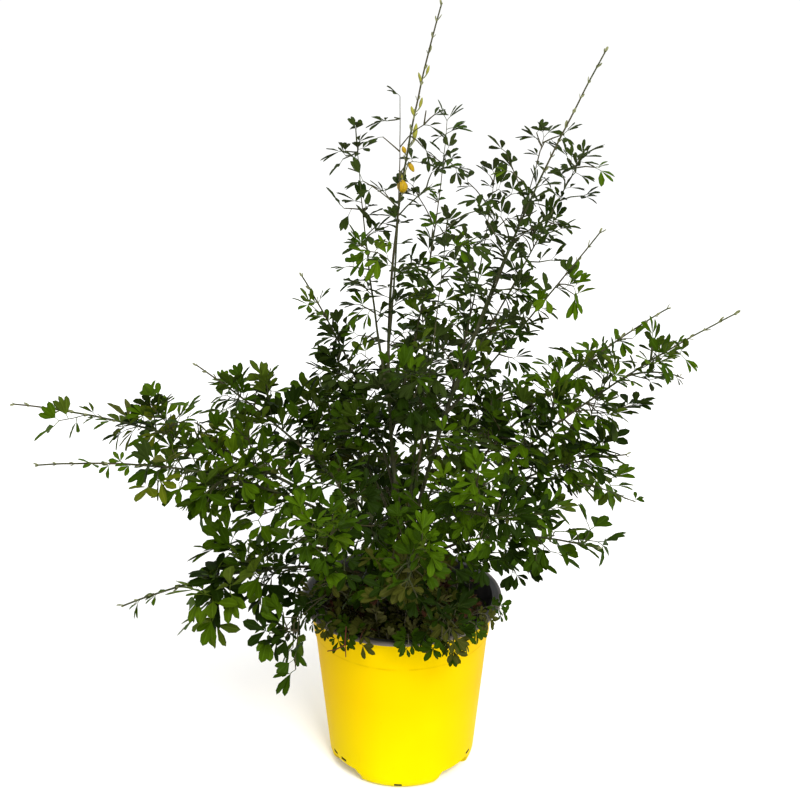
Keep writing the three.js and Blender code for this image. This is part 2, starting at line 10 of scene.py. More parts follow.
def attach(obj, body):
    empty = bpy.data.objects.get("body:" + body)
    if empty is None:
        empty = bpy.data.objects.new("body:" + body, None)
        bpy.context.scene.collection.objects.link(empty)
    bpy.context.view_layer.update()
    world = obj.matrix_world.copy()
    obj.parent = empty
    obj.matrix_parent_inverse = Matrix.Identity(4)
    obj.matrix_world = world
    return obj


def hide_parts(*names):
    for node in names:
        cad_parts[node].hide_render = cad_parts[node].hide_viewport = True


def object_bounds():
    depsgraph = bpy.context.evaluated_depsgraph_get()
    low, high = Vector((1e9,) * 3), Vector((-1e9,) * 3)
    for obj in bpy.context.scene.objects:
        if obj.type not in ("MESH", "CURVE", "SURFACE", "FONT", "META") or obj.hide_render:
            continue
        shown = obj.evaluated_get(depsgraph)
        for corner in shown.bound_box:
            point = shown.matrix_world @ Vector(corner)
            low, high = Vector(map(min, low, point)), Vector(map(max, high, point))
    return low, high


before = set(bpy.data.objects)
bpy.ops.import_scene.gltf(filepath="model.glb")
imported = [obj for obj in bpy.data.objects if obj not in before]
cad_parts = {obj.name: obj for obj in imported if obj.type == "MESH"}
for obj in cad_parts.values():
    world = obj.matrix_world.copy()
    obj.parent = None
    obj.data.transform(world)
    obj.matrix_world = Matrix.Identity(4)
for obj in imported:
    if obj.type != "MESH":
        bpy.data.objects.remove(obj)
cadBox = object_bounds()
mm = 0.001
up = np.array((0.0, 0.0, 1.0))


# Camera, light and floor
view = {
    "place": (-0.0017, -1.150, 0.805),
    "down": 19.87,  # degrees below level
    "lens": 57.56,
    "sensor": 36,
    "sky": (1.0, 1.0, 1.0, 1),
    "skyStrength": 1.04,
    "floor": (0.99, 0.99, 0.99, 1),
    "floorHalf": 9,  # metres
}

lamps = [
    # name, place, aimed at, side, watts, colour
    ("keyLamp", (0.65, -1.6, 1.9), (0, 0, 0.3), 0.9, 58, (1.0, 0.98, 0.94)),
    ("backLamp", (-0.4, 1.7, 2.0), (0, 0, 0.4), 1.2, 10, (1.0, 1.0, 1.0)),
]


def setStage():
    scene = bpy.context.scene
    scene.view_settings.view_transform = "Standard"
    camera = bpy.data.objects.new("camera", bpy.data.cameras.new("camera"))
    camera.location = view["place"]
    camera.rotation_euler = (math.radians(90 - view["down"]), 0, 0)
    camera.data.lens = view["lens"]
    camera.data.sensor_width = view["sensor"]
    scene.collection.objects.link(camera)
    scene.camera = camera
    world = bpy.data.worlds.new("studio")
    scene.world = world
    world.use_nodes = True
    sky = world.node_tree.nodes["Background"]
    sky.inputs["Color"].default_value = view["sky"]
    sky.inputs["Strength"].default_value = view["skyStrength"]
    for name, place, target, side, watts, colour in lamps:
        light = bpy.data.lights.new(name, "AREA")
        light.size = side
        light.energy = watts
        light.color = colour
        lamp = bpy.data.objects.new(name, light)
        lamp.location = place
        lamp.rotation_euler = (Vector(place) - Vector(target)).to_track_quat("Z", "Y").to_euler()
        scene.collection.objects.link(lamp)
    bm = bmesh.new()
    bmesh.ops.create_grid(bm, x_segments=2, y_segments=2, size=view["floorHalf"])
    floor = newPiece("studioFloor", bm)
    floor.data.materials.append(floorFinish())


# A shader socket that Python's own operators work on
class Wire:
    def __init__(self, finish, socket):
        self.finish = finish
        self.socket = socket

    def maths(self, operation, other, clamp=False):
        settings = {"operation": operation, "use_clamp": clamp}
        return self.finish.node("ShaderNodeMath", settings, {0: self, 1: other})

    def __add__(self, other):
        return self.maths("ADD", other)

    def __sub__(self, other):
        return self.maths("SUBTRACT", other)

    def __rsub__(self, other):
        return self.maths("MULTIPLY", -1) + other

    def __mul__(self, other):
        return self.maths("MULTIPLY", other)

    def rising(self, low, high):  # 0 up to low, 1 from high on
        return ((self - low) * (1 / (high - low))).maths("ADD", 0, True)


# One material: its Principled shader and the nodes that feed it
class Finish:
    def __init__(self, name, **plain):
        self.material = bpy.data.materials.new(name)
        self.material.use_nodes = True
        self.tree = self.material.node_tree
        self.shader = self.tree.nodes["Principled BSDF"]
        for socket, value in plain.items():
            self.shader.inputs[socket.replace("_", " ")].default_value = value
        self.place = self.node("ShaderNodeTexCoord", output="Object")

    def node(self, kind, settings=None, values=None, output=0):
        made = self.tree.nodes.new(kind)
        for key, value in (settings or {}).items():
            setattr(made, key, value)
        for key, value in (values or {}).items():
            self.feed(made.inputs[key], value)
        return Wire(self, made.outputs[output])

    def feed(self, socket, value):
        if isinstance(value, Wire):
            self.tree.links.new(value.socket, socket)
        else:
            socket.default_value = value

    def grain(self, scale, detail=3, stretch=(1, 1, 1)):  # cloudy noise, 0 to 1
        spot = self.node("ShaderNodeMapping", {}, {"Vector": self.place, "Scale": stretch})
        return self.node("ShaderNodeTexNoise", {}, {"Vector": spot, "Scale": scale, "Detail": detail})

    def blend(self, factor, first, second):
        settings = {"data_type": "RGBA"}
        return self.node("ShaderNodeMix", settings, {0: factor, 6: first, 7: second}, 2)

    def paint(self, colour):
        self.feed(self.shader.inputs["Base Color"], colour)

    def rough(self, value):
        self.feed(self.shader.inputs["Roughness"], value)

    def relief(self, height, depth, strength):
        values = {"Height": height, "Distance": depth * mm, "Strength": strength}
        self.feed(self.shader.inputs["Normal"], self.node("ShaderNodeBump", {}, values))


def floorFinish():
    finish = Finish("studioPaper", Roughness=0.9)
    finish.paint(view["floor"])
    return finish.material


def newPiece(name, bm):
    mesh = bpy.data.meshes.new(name)
    bm.to_mesh(mesh)
    bm.free()
    piece = bpy.data.objects.new(name, mesh)
    bpy.context.scene.collection.objects.link(piece)
    return piece


# Turns a chain of vertices round the pot's axis
def revolve(bm, chain, steps):
    lines = [bm.edges.new(pair) for pair in zip(chain, chain[1:])]
    turn = {"cent": (0, 0, 0), "axis": (0, 0, 1), "angle": math.tau, "steps": steps}
    bmesh.ops.spin(bm, geom=chain + lines, use_merge=True, **turn)
    bmesh.ops.remove_doubles(bm, verts=bm.verts, dist=0.01 * mm)


def smoothOut(bm):
    bmesh.ops.recalc_face_normals(bm, faces=bm.faces)
    for face in bm.faces:
        face.smooth = True


def settle(piece, nodes=()):
    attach(piece, "root")
    if nodes:
        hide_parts(*nodes)
    count = sum(len(face.vertices) - 2 for face in piece.data.polygons)
    print(f"{piece.name}: {count} triangles")


# The pot: a thin thermoformed cup, yellow outside, dark inside and on its rolled lip
pot = {
    "height": 182.5,
    "sheet": 1.4,
    "steps": 120,
    "cornerRadius": 75.2,
    "cornerHeight": 9,
    "ledgeHeight": 146,
    "ledgeStep": 1.2,
    "rimRadius": 92.5,
    "lipRadius": 101,
    "lipDrop": 3,
    "archTurns": (47, 128, 227, 308),  # degrees from -Y
    "archHalfAngle": 15,
    "archFade": 4,
    "archHeight": 13.5,
    "archInner": 44,
    "highSlots": (62, 118, 129, 242, 298, 309),
    "lowSlots": (176, 356),
    "slotHalfAngle": 2,
    "slotRadius": 71,  # the slots lie outside it, between these heights
    "highBand": (15, 19),
    "lowBand": (3, 7.5),
    "foot": (  # radius and height of the outline up to the wall
        (0, 0), (22, 0), (43, 0), (46.5, 7), (53, 7), (59.7, 7), (63.2, 0), (65.7, 0), (68.7, 0),
        (71.2, 1.6), (73.1, 3.4), (74.3, 6.4), (75.2, 9.6),
    ),
    "lowRings": (12.8, 15.8, 18.6, 26, 40, 58, 76, 96, 116, 132),
    "highRings": (158, 172),
    "ledgeHalf": 0.4,
    "lipUnder": ((-4, -0.2), (-1.2, -0.4), (-0.2, 0.2)),  # off the lip's lower edge
    "lipTop": ((0, -1.6), (-0.5, -0.6), (-1.4, -0.1), (-3.4, 0), (-6, -0.2)),  # off its upper edge
    "floor": (  # the outline inside, from the wall to the middle
        (73.8, 9.6), (72.8, 6.9), (71.7, 4.3), (70.3, 2.8), (68.1, 1.4), (65.7, 1.4), (64.0, 1.4),
        (61.1, 8.4), (53, 8.4), (45.2, 8.4), (42.2, 1.4), (22, 1.4), (0, 1.4),
    ),
    "sharp": 38,  # degrees
    "lipShade": (96.5, 98.5),  # radii between which the dark inside turns into the lip's grey, a painted highlight
    "yellow": (0.67, 0.465, 0.0, 1),
    # lemon: lighter yellow toward the foot, painted light where the floor's light bounces onto the pot
    "lemon": (0.68, 0.585, 0.0, 1),
    # golden: painted shade on the pot's left and right sides, also its cloudy tone and its scuffs
    "golden": (0.55, 0.335, 0.0, 1),
    "crease": (0.34, 0.20, 0.0, 1),  # painted shade: the faint dark line under the ledge
    "dark": (0.020, 0.020, 0.021, 1),
    "dust": (0.10, 0.085, 0.07, 1),
    # lip: the light grey of the lip's outer edge, a painted highlight
    "lip": (0.135, 0.115, 0.10, 1),
}


def wallRadius(height):
    share = (height - pot["cornerHeight"]) / (pot["height"] - pot["cornerHeight"])
    step = pot["ledgeStep"] if height > pot["ledgeHeight"] else 0
    return pot["cornerRadius"] + (pot["rimRadius"] - pot["ledgeStep"] - pot["cornerRadius"]) * share + step


# Radius, height and skin (0 outside, 1 inside, 2 lip) from the middle of the underside, over the
# lip, to the middle of the floor inside
def potProfile():
    ledge = pot["ledgeHeight"]
    half = pot["ledgeHalf"]
    top = pot["height"]
    under = top - pot["lipDrop"]
    sheet = pot["sheet"]
    lip = pot["lipRadius"]
    walls = [*pot["lowRings"], ledge - half, ledge + half, *pot["highRings"], under]
    outside = [(r, z, 0) for r, z in pot["foot"]] + [(wallRadius(z), z, 0) for z in walls]
    rolled = [(lip + r, under + z, 2) for r, z in pot["lipUnder"]]
    rolled += [(lip + r, top + z, 2) for r, z in pot["lipTop"]]
    rolled.append((wallRadius(top) - sheet + 0.5, top - 0.9, 2))
    inside = [(wallRadius(z) - sheet, z, 1) for z in reversed(walls)]
    return outside + rolled + inside + [(r, z, 1) for r, z in pot["floor"]]


# How far the underside is raised at a turn round the pot, 0 to 1 inside an arch
def archShare(angle):
    off = min(abs((angle + 90 - turn + 180) % 360 - 180) for turn in pot["archTurns"])
    return within((pot["archHalfAngle"] + pot["archFade"] - off) / pot["archFade"])


def makePot():
    bm = bmesh.new()
    skin = bm.verts.layers.int.new("skin")
    ring = bm.verts.layers.int.new("ring")
    chain = []
    for index, (radius, height, side) in enumerate(potProfile()):
        vert = bm.verts.new((radius * mm, 0, height * mm))
        vert[skin] = side
        vert[ring] = index
        chain.append(vert)
    revolve(bm, chain, pot["steps"])
    for vert in bm.verts:
        radius = math.hypot(vert.co.x, vert.co.y)
        lift = archShare(math.degrees(math.atan2(vert.co.y, vert.co.x)))
        if radius > pot["archInner"] * mm and vert.co.z < 2 * pot["archHeight"] * mm:
            roof = pot["archHeight"] + (pot["sheet"] if vert[skin] == 1 else 0)
            vert.co.z = max(vert.co.z, roof * lift * mm)
    cutDrainSlots(bm, ring)
    smoothOut(bm)
    for face in bm.faces:
        face.material_index = 0 if all(vert[skin] == 0 for vert in face.verts) else 1
    piece = newPiece("potShell", bm)
    piece.data.set_sharp_from_angle(angle=math.radians(pot["sharp"]))
    piece.data.materials.append(potOutsideFinish())
    piece.data.materials.append(potDarkFinish())
    settle(piece, ["pot"])


# Holes through both skins: each band lies between two rings of the outer or of the inner skin
def cutDrainSlots(bm, ring):
    profile = potProfile()
    for turns, (low, high) in ((pot["highSlots"], pot["highBand"]), (pot["lowSlots"], pot["lowBand"])):
        starts = []
        for index, (here, there) in enumerate(zip(profile, profile[1:])):
            bottom, top = sorted((here[1], there[1]))
            if min(here[0], there[0]) >= pot["slotRadius"] and bottom > low and top < high:
                starts.append(index)
        for turn in turns:
            cutSlot(bm, ring, turn - 90, starts)


def cutSlot(bm, ring, degrees, starts):
    step = 360 / pot["steps"]
    middle = round(degrees / step) * step
    doomed = []
    for face in bm.faces:
        rings = {vert[ring] for vert in face.verts}
        if min(rings) not in starts or max(rings) - min(rings) != 1:
            continue
        spot = face.calc_center_median()
        turn = (math.degrees(math.atan2(spot.y, spot.x)) - middle + 180) % 360 - 180
        if abs(turn) < pot["slotHalfAngle"]:
            doomed.append(face)
    around = dict.fromkeys(edge for face in doomed for edge in face.edges)  # in order, unlike a set
    bmesh.ops.delete(bm, geom=doomed, context="FACES")
    rims = [edge for edge in around if edge.is_valid and edge.is_boundary]
    bmesh.ops.bridge_loops(bm, edges=rims)


def potOutsideFinish():
    finish = Finish("yellowPlastic", IOR=1.5, Specular_IOR_Level=0.012, Specular_Tint=(1, 0.8, 0.05, 1))
    height = finish.node("ShaderNodeSeparateXYZ", {}, {0: finish.place}, "Z")
    cloud = finish.grain(9, 2)
    streaks = finish.grain(60, 3, (1, 1, 0.12))
    # Lighter lemon toward the foot: painted bounce light from the floor
    base = finish.blend(height.rising(0.015, 0.10), pot["lemon"], pot["yellow"])
    # The pot's left and right sides turn golden: painted shade where they turn from the light, plus a cloudy
    # random tone
    aside = finish.node("ShaderNodeSeparateXYZ", {}, {0: finish.place}, "X")
    sideShadeAndCloud = (aside * -1).rising(0.02, 0.085) * 0.75 + aside.rising(0.03, 0.09) * 0.55
    sideShadeAndCloud = sideShadeAndCloud + cloud.rising(0.52, 0.78) * 0.25
    base = finish.blend(sideShadeAndCloud, base, pot["golden"])
    # A faint darker band just under the ledge's step: painted shade
    ledge = pot["ledgeHeight"] * mm
    line = height.rising(ledge - 0.001, ledge + 0.0006) * (1 - height.rising(ledge + 0.0014, ledge + 0.003))
    line = line * streaks.rising(0.3, 0.6)
    base = finish.blend(line * 0.3, base, pot["crease"])
    specks = finish.grain(900, 2).rising(0.73, 0.78) * (1 - height.rising(0.02, 0.06)) * 0.5
    scuffs = finish.grain(160, 4, (1, 1, 0.35)).rising(0.68, 0.82) * 0.3
    finish.paint(finish.blend(specks, finish.blend(scuffs, base, pot["golden"]), pot["dust"]))
    finish.rough(streaks * 0.12 + cloud * 0.1 + 0.3)
    finish.relief(streaks + finish.grain(500, 2) * 0.4, 0.12, 0.35)
    return finish.material


def potDarkFinish():
    finish = Finish("darkPlastic", IOR=1.5, Specular_IOR_Level=0.25)
    dust = finish.grain(45, 5).rising(0.4, 0.8)
    x = finish.node("ShaderNodeSeparateXYZ", {}, {0: finish.place}, "X")
    y = finish.node("ShaderNodeSeparateXYZ", {}, {0: finish.place}, "Y")
    # The lip's outer edge turns light grey: a painted highlight
    litLipEdge = (x * x + y * y).rising(*((radius * mm) ** 2 for radius in pot["lipShade"])) * 0.85
    finish.paint(finish.blend(litLipEdge, finish.blend(dust * 0.3, pot["dark"], pot["dust"]), pot["lip"]))
    finish.rough(dust * 0.3 + 0.38)
    finish.relief(finish.grain(380, 3), 0.15, 0.4)
    return finish.material


# The compost: a lumpy low mound that fills the pot, with loose crumbs and dry leaves on it
soil = {
    "base": 15.2,
    "edge": 158,
    "mound": 5,
    "steps": 96,
    "clear": 0.3,
    "wallRings": (150, 120, 80, 40, 16),
    "wallGap": 0.6,
    "rimGap": 0.2,
    "footRadius": 69.2,
    "topRings": 34,
    "flatTop": 25,
    "slope": 60,
    "slopePower": 1.4,
    "sink": 1.2,
    "lump": 2.6,
    "lumps": ((17, 0.9), (7, 0.5), (3, 0.25)),  # size and share
    "rim": 88,
    "rimFade": 8,
    "crumbs": 900,
    "crumbRing": (10, 74),
    "crumbSize": (0.9, 3.2),
    "litter": 60,
    "litterRing": (14, 66),
    "litterLong": (6, 9),
    "litterWidth": 0.38,
    "litterReach": 86,
    "black": (0.010, 0.0075, 0.006, 1),
    "brown": (0.045, 0.028, 0.018, 1),
    "straw": (0.16, 0.10, 0.05, 1),
}


def soilTop(x, y):
    radius = math.hypot(x, y)
    rise = soil["mound"] * (1 - within((radius - soil["flatTop"]) / soil["slope"]) ** soil["slopePower"])
    spot = Vector((x, y, 0))
    lumps = sum(noise.noise(spot / size) * share for size, share in soil["lumps"])
    fade = min(1, (soil["rim"] - radius) / soil["rimFade"])
    return soil["edge"] + rise + lumps * soil["lump"] * fade - soil["sink"]


def makeCompost():
    wall = lambda z: wallRadius(z) - pot["sheet"] - soil["clear"]
    rim = wall(soil["edge"]) - soil["rimGap"]
    profile = [(rim * share, soil["edge"]) for share in np.linspace(0, 1, soil["topRings"])]
    profile += [(wall(z) - soil["wallGap"], z) for z in soil["wallRings"]]
    profile += [(soil["footRadius"], soil["base"]), (0, soil["base"])]
    bm = bmesh.new()
    revolve(bm, [bm.verts.new((radius * mm, 0, height * mm)) for radius, height in profile], soil["steps"])
    for vert in bm.verts:
        if vert.co.z > (soil["edge"] - 0.5) * mm:
            vert.co.z = soilTop(vert.co.x / mm, vert.co.y / mm) * mm
    smoothOut(bm)
    piece = newPiece("compostBed", bm)
    piece.data.materials.append(compostFinish("moistCompost"))
    settle(piece, ["compost"])


def compostFinish(name):
    finish = Finish(name, Roughness=0.95)
    clods = finish.grain(160, 6)
    fibres = finish.grain(420, 4, (1, 0.3, 1)).rising(0.6, 0.75)
    base = finish.blend(clods.rising(0.35, 0.7), soil["black"], soil["brown"])
    finish.paint(finish.blend(fibres * 0.5, base, soil["straw"]))
    finish.relief(clods + finish.grain(700, 4) * 0.5, 1.2, 0.8)
    return finish.material


# The same numbers on every run, from a whole-number seed, as in the part's own source
def draws(seed):
    state = [seed]
    whole = 0xFFFFFFFF

    def draw():
        state[0] = (state[0] + 0x6D2B79F5) & whole
        word = ((state[0] ^ (state[0] >> 15)) * (1 | state[0])) & whole
        word = ((word + (((word ^ (word >> 7)) * (61 | word)) & whole)) & whole) ^ word
        return ((word ^ (word >> 14)) & whole) / (whole + 1)

    return draw


# Where each series of draws starts, with its step from shoot to shoot
seeds = {
    "masses": (1000, 77),
    "dressing": (51, 13),
    "leafKinds": 7,
    "mouth": 83,
    "litter": 29,
    "crumbs": 31,
    "bends": 17,
}
noise.seed_set(seeds["bends"])  # else noise_vector gives other bends on each run


# A drawn value from its least and its range
def ranged(limits, draw):
    return limits[0] + limits[1] * draw()


def unit(v):
    return v / math.sqrt(v @ v)


def turned(v, axis, degrees):  # v turned about a unit axis
    c = math.cos(math.radians(degrees))
    s = math.sin(math.radians(degrees))
    return v * c + cross(axis, v) * s + axis * ((axis @ v) * (1 - c))


def cross(a, b):
    return np.array((a[1] * b[2] - a[2] * b[1], a[2] * b[0] - a[0] * b[2], a[0] * b[1] - a[1] * b[0]))


def splayedFrom(along, side, turn, splay):
    radial = turned(side, along, turn)
    return along * math.cos(math.radians(splay)) + radial * math.sin(math.radians(splay))


def sideOf(along):
    return unit(cross(along, up + 0.01 * along[::-1]))


def levelAt(angle):  # a level direction
    return np.array((math.cos(angle), math.sin(angle), 0))


def mixed(a, b, share):
    return a + (b - a) * share


def within(share):  # kept from 0 to 1
    return min(1, max(0, share))


# The shrub's own sizes, as in the source
trunk = {
    "flareRadius": 12,
    "neckRadius": 8.6,
    "forkRadius": 7.4,
    "flareHeight": 16,
    "height": 66,
    "lean": 4,
    "foot": 163.3,
}
bough = {"taper": 0.6, "sides": 10, "ring": 5}
twig = {
    "stemTipRadius": 1.3,
    "sideShare": 0.52,
    "splay": 48,
    "splayRange": 18,
    "shrink": 0.4,
    "turn": 137.5,
    "retries": 3,
    "retryTurn": 80,
    "probes": (0.3, 0.65, 1),
    "keeps": (0.2, 0.35, 0.65, 0.8),
    "sizes": (0.85, 0.3),
    "leafPlaces": (0.48, 1),
    "stemLeafAfter": 0.45,
    "leafSplay": 78,
    "endSplay": 30,
}
massLeaf = {
    "length": 42,
    "width": 16.5,
    "widest": 0.62,
    "fan": 48,
    "notch": 4,
    "root": 0.25,
    "crown": 0.7,
    "fold": 1.1,
    "droop": 1.8,
    "roll": 50,
    "outward": 0.8,
    "endSize": 0.75,
    "lowSize": 1.04,
    "highSize": 0.72,
}
clear = {"neighbour": 1.5, "limb": 1.4, "pot": 2.5, "leaf": 5, "joint": 0.3}
sampling = {"stem": 8, "bough": 5, "trunk": 5.5, "joint": 14}
crownTop = 640

# Each row is a shoot: name, tip, what it springs from and where, the angle at which it starts,
# the share that is bough, its radius, side twigs, the bare share of its leafy stem, their length
shoots = [
    ("spire", (34, 0, 752), "trunk", 1, 100, 0.5, 2.9, 3, 0.62, 54),
    ("right_leader", (174, -20, 714), "trunk", 0.96, 78, 0.5, 2.9, 3, 0.5, 44),
    ("heart", (42, -44, 590), "trunk", 0.9, 80, 0.26, 2.8, 6, 0, 66),
    ("spire_left", (-44, 10, 662), "spire", 0.3, 80, 0.34, 2.3, 3, 0, 26),
    ("spire_mid", (0, -34, 698), "spire", 0.42, 74, 0.27, 2.2, 3, 0, 44),
    ("spire_right", (46, 44, 668), "spire", 0.24, 70, 0.27, 2.3, 4, 0, 44),
    ("right_crown", (134, 2, 658), "right_leader", 0.44, 66, 0.27, 2.2, 4, 0, 42),
    ("right_inner", (92, 52, 616), "right_leader", 0.26, 66, 0.27, 2.2, 5, 0, 50),
    ("right_outer", (178, 52, 632), "right_leader", 0.34, 58, 0.27, 2.2, 3, 0, 38),
    ("right_flare", (172, -60, 566), "right_leader", 0.3, 52, 0.27, 2.2, 2, 0.3, 13),
    ("east_long", (306, -20, 481), "trunk", 0.82, 52, 0.36, 2.9, 5, 0.3, 40),
    ("east_high", (262, 62, 463), "trunk", 0.9, 58, 0.34, 2.8, 4, 0.34, 26),
    ("east_low", (238, 100, 292), "trunk", 0.62, 50, 0.32, 2.9, 5, 0.14, 40),
    ("east_front", (182, -80, 272), "trunk", 0.6, 50, 0.3, 2.8, 4, 0.1, 30),
    ("rim_right", (54, -146, 212), "trunk", 0.44, 44, 0.3, 2.6, 3, 0, 24),
    ("west_long", (-378, 20, 378), "trunk", 0.84, 42, 0.34, 3.3, 6, 0.4, 32),
    ("west_low", (-337, -60, 347), "trunk", 0.7, 48, 0.34, 3.1, 6, 0.4, 30),
    ("west_high", (-98, 66, 495), "trunk", 0.98, 81, 0.32, 2.8, 4, 0.3, 34),
    ("west_back", (-212, 104, 390), "trunk", 0.88, 46, 0.32, 3, 5, 0.26, 32),
    ("southwest_low", (-266, -70, 206), "trunk", 0.52, 23, 0.3, 3, 5, 0.46, 40),
    ("southwest_droop", (-128, -120, 200), "trunk", 0.4, 58, 0.3, 2.8, 5, 0, 36),
    ("front_left", (-96, -178, 336), "trunk", 0.72, 66, 0.3, 2.9, 5, 0, 64),
    ("front_centre", (6, -200, 302), "trunk", 0.56, 62, 0.3, 2.8, 5, 0, 66),
    ("front_right", (92, -164, 352), "trunk", 0.76, 66, 0.3, 2.9, 5, 0, 72),
    ("back_left", (-98, 186, 312), "trunk", 0.74, 62, 0.34, 2.9, 5, 0.1, 54),
    ("back_centre", (36, 214, 396), "trunk", 0.8, 64, 0.34, 2.9, 5, 0.1, 70),
    ("back_right", (106, 186, 316), "trunk", 0.7, 62, 0.34, 2.9, 4, 0.1, 54),
    ("back_low", (-26, 212, 232), "trunk", 0.46, 50, 0.34, 2.7, 4, 0, 66),
]


def trunkAt(share):
    lean = math.tan(math.radians(trunk["lean"]))
    return np.array((lean * trunk["height"] * share, 0, trunk["foot"] + trunk["height"] * share))


def trunkRadius(share):
    flare = trunk["flareHeight"] / trunk["height"]
    if share < flare:
        rest = 1 - share / flare
        return trunk["neckRadius"] + (trunk["flareRadius"] - trunk["neckRadius"]) * rest * rest
    return mixed(trunk["neckRadius"], trunk["forkRadius"], (share - flare) / (1 - flare))


# One arc in an upright plane from a shoot's foot to its tip: bough first, then leafy stem
class Shoot:
    def __init__(self, row, made):
        self.name, tip, on, place, rise, self.share, self.thick, self.twigs, self.spike, self.spread = row
        foot = trunkAt(place) if on == "trunk" else made[on].at(place)
        reach = np.array(tip, float)
        lastLeaf = 0 if self.spike else massLeaf["length"] * massLeaf["highSize"]
        tip = reach - unit(reach - foot) * lastLeaf
        flat = unit(np.array((tip[0] - foot[0], tip[1] - foot[1], 0)))
        angle = math.radians(rise)
        start = flat * math.cos(angle) + up * math.sin(angle)
        span = math.dist(foot, tip)
        self.foot = foot
        self.tip = tip
        self.bend = foot + start * span * 0.5
        self.length = (math.dist(foot, self.bend) + math.dist(self.bend, tip) + span) / 2
        self.side = unit(cross(flat, up))
        self.end = self.thick * bough["taper"]

    def at(self, t):
        return self.foot * (1 - t) ** 2 + self.bend * (2 * t * (1 - t)) + self.tip * t**2

    def along(self, t):
        return unit(self.at(t + 0.002) - self.at(t - 0.002))

    def radius(self, t):
        if t < self.share:
            return mixed(self.thick, self.end, t / self.share)
        return mixed(self.end, twig["stemTipRadius"], (t - self.share) / (1 - self.share))

    def slim(self, t):
        share = heightShare(self.at(t)[2])
        return self.radius(min(t, 1)) * mixed(foliage["lowSlim"], foliage["highSlim"], share)

    def atHeight(self, height):
        share = np.linspace(0.6, 1, 200)
        return self.at(np.interp(height, [self.at(t)[2] for t in share], share))

    def samples(self, start, end, spacing):
        count = math.ceil(self.length * (end - start) / spacing)
        spots = [start + (end - start) * i / count for i in range(count + 1)]
        return [self.at(t) for t in spots], [self.radius(t) for t in spots]


sharpAngle = 60  # degrees from which an edge of the leaves and twigs shows


# Many small closed shapes, gathered as arrays for one mesh
class Heap:
    def __init__(self):
        self.points = []
        self.faces = []
        self.looks = []
        self.marks = []
        self.count = 0

    def add(self, points, faces, look=0, marks=0.0):
        self.points.append(points)
        self.faces.append(faces + self.count)
        self.looks.append(np.broadcast_to(look, len(faces)))
        self.marks.append(np.broadcast_to(marks, len(points)))
        self.count += len(points)

    def piece(self, name, finishes):
        points = np.concatenate(self.points) * mm
        faces = np.concatenate(self.faces)
        mesh = bpy.data.meshes.new(name)
        mesh.vertices.add(len(points))
        mesh.vertices.foreach_set("co", points.astype(np.float32).ravel())
        mesh.loops.add(faces.size)
        mesh.loops.foreach_set("vertex_index", faces.astype(np.int32).ravel())
        mesh.polygons.add(len(faces))
        mesh.polygons.foreach_set("loop_start", np.arange(0, faces.size, 3, dtype=np.int32))
        mesh.polygons.foreach_set("material_index", np.concatenate(self.looks).astype(np.int32))
        mesh.update(calc_edges=True)
        marks = mesh.attributes.new("midrib", "FLOAT", "POINT")
        marks.data.foreach_set("value", np.concatenate(self.marks).astype(np.float32))
        mesh.shade_smooth()
        mesh.set_sharp_from_angle(angle=math.radians(sharpAngle))
        for finish in finishes:
            mesh.materials.append(finish)
        piece = bpy.data.objects.new(name, mesh)
        bpy.context.scene.collection.objects.link(piece)
        return piece


tubeFaces = {}


# A closed tube along a line of points
def addTube(heap, points, radii, sides, look=0):
    points = np.asarray(points)
    rings = len(points)
    along = np.gradient(points, axis=0)
    along /= np.linalg.norm(along, axis=1)[:, None]
    rest = np.array((1.0, 0, 0)) if abs(along[0][0]) < 0.8 else np.array((0, 1.0, 0))
    angles = np.arange(sides) * math.tau / sides
    circle = np.stack((np.cos(angles), np.sin(angles)), 1)
    shape = [points[:1]]
    for i in range(rings):
        rest = unit(rest - along[i] * (rest @ along[i]))
        other = cross(along[i], rest)
        shape.append(points[i] + radii[i] * (circle[:, :1] * rest + circle[:, 1:] * other))
    shape.append(points[-1:])
    if (rings, sides) not in tubeFaces:
        tubeFaces[rings, sides] = np.array(tubeTriangles(rings, sides))
    heap.add(np.concatenate(shape), tubeFaces[rings, sides], look)


def tubeTriangles(rings, sides):
    last = rings * sides + 1
    faces = []
    for j in range(sides):
        k = (j + 1) % sides
        faces.append((0, 1 + k, 1 + j))
        faces.append((last, last - sides + j, last - sides + k))
        for i in range(rings - 1):
            low = 1 + i * sides
            faces.append((low + j, low + k, low + sides + k))
            faces.append((low + j, low + sides + k, low + sides + j))
    return faces


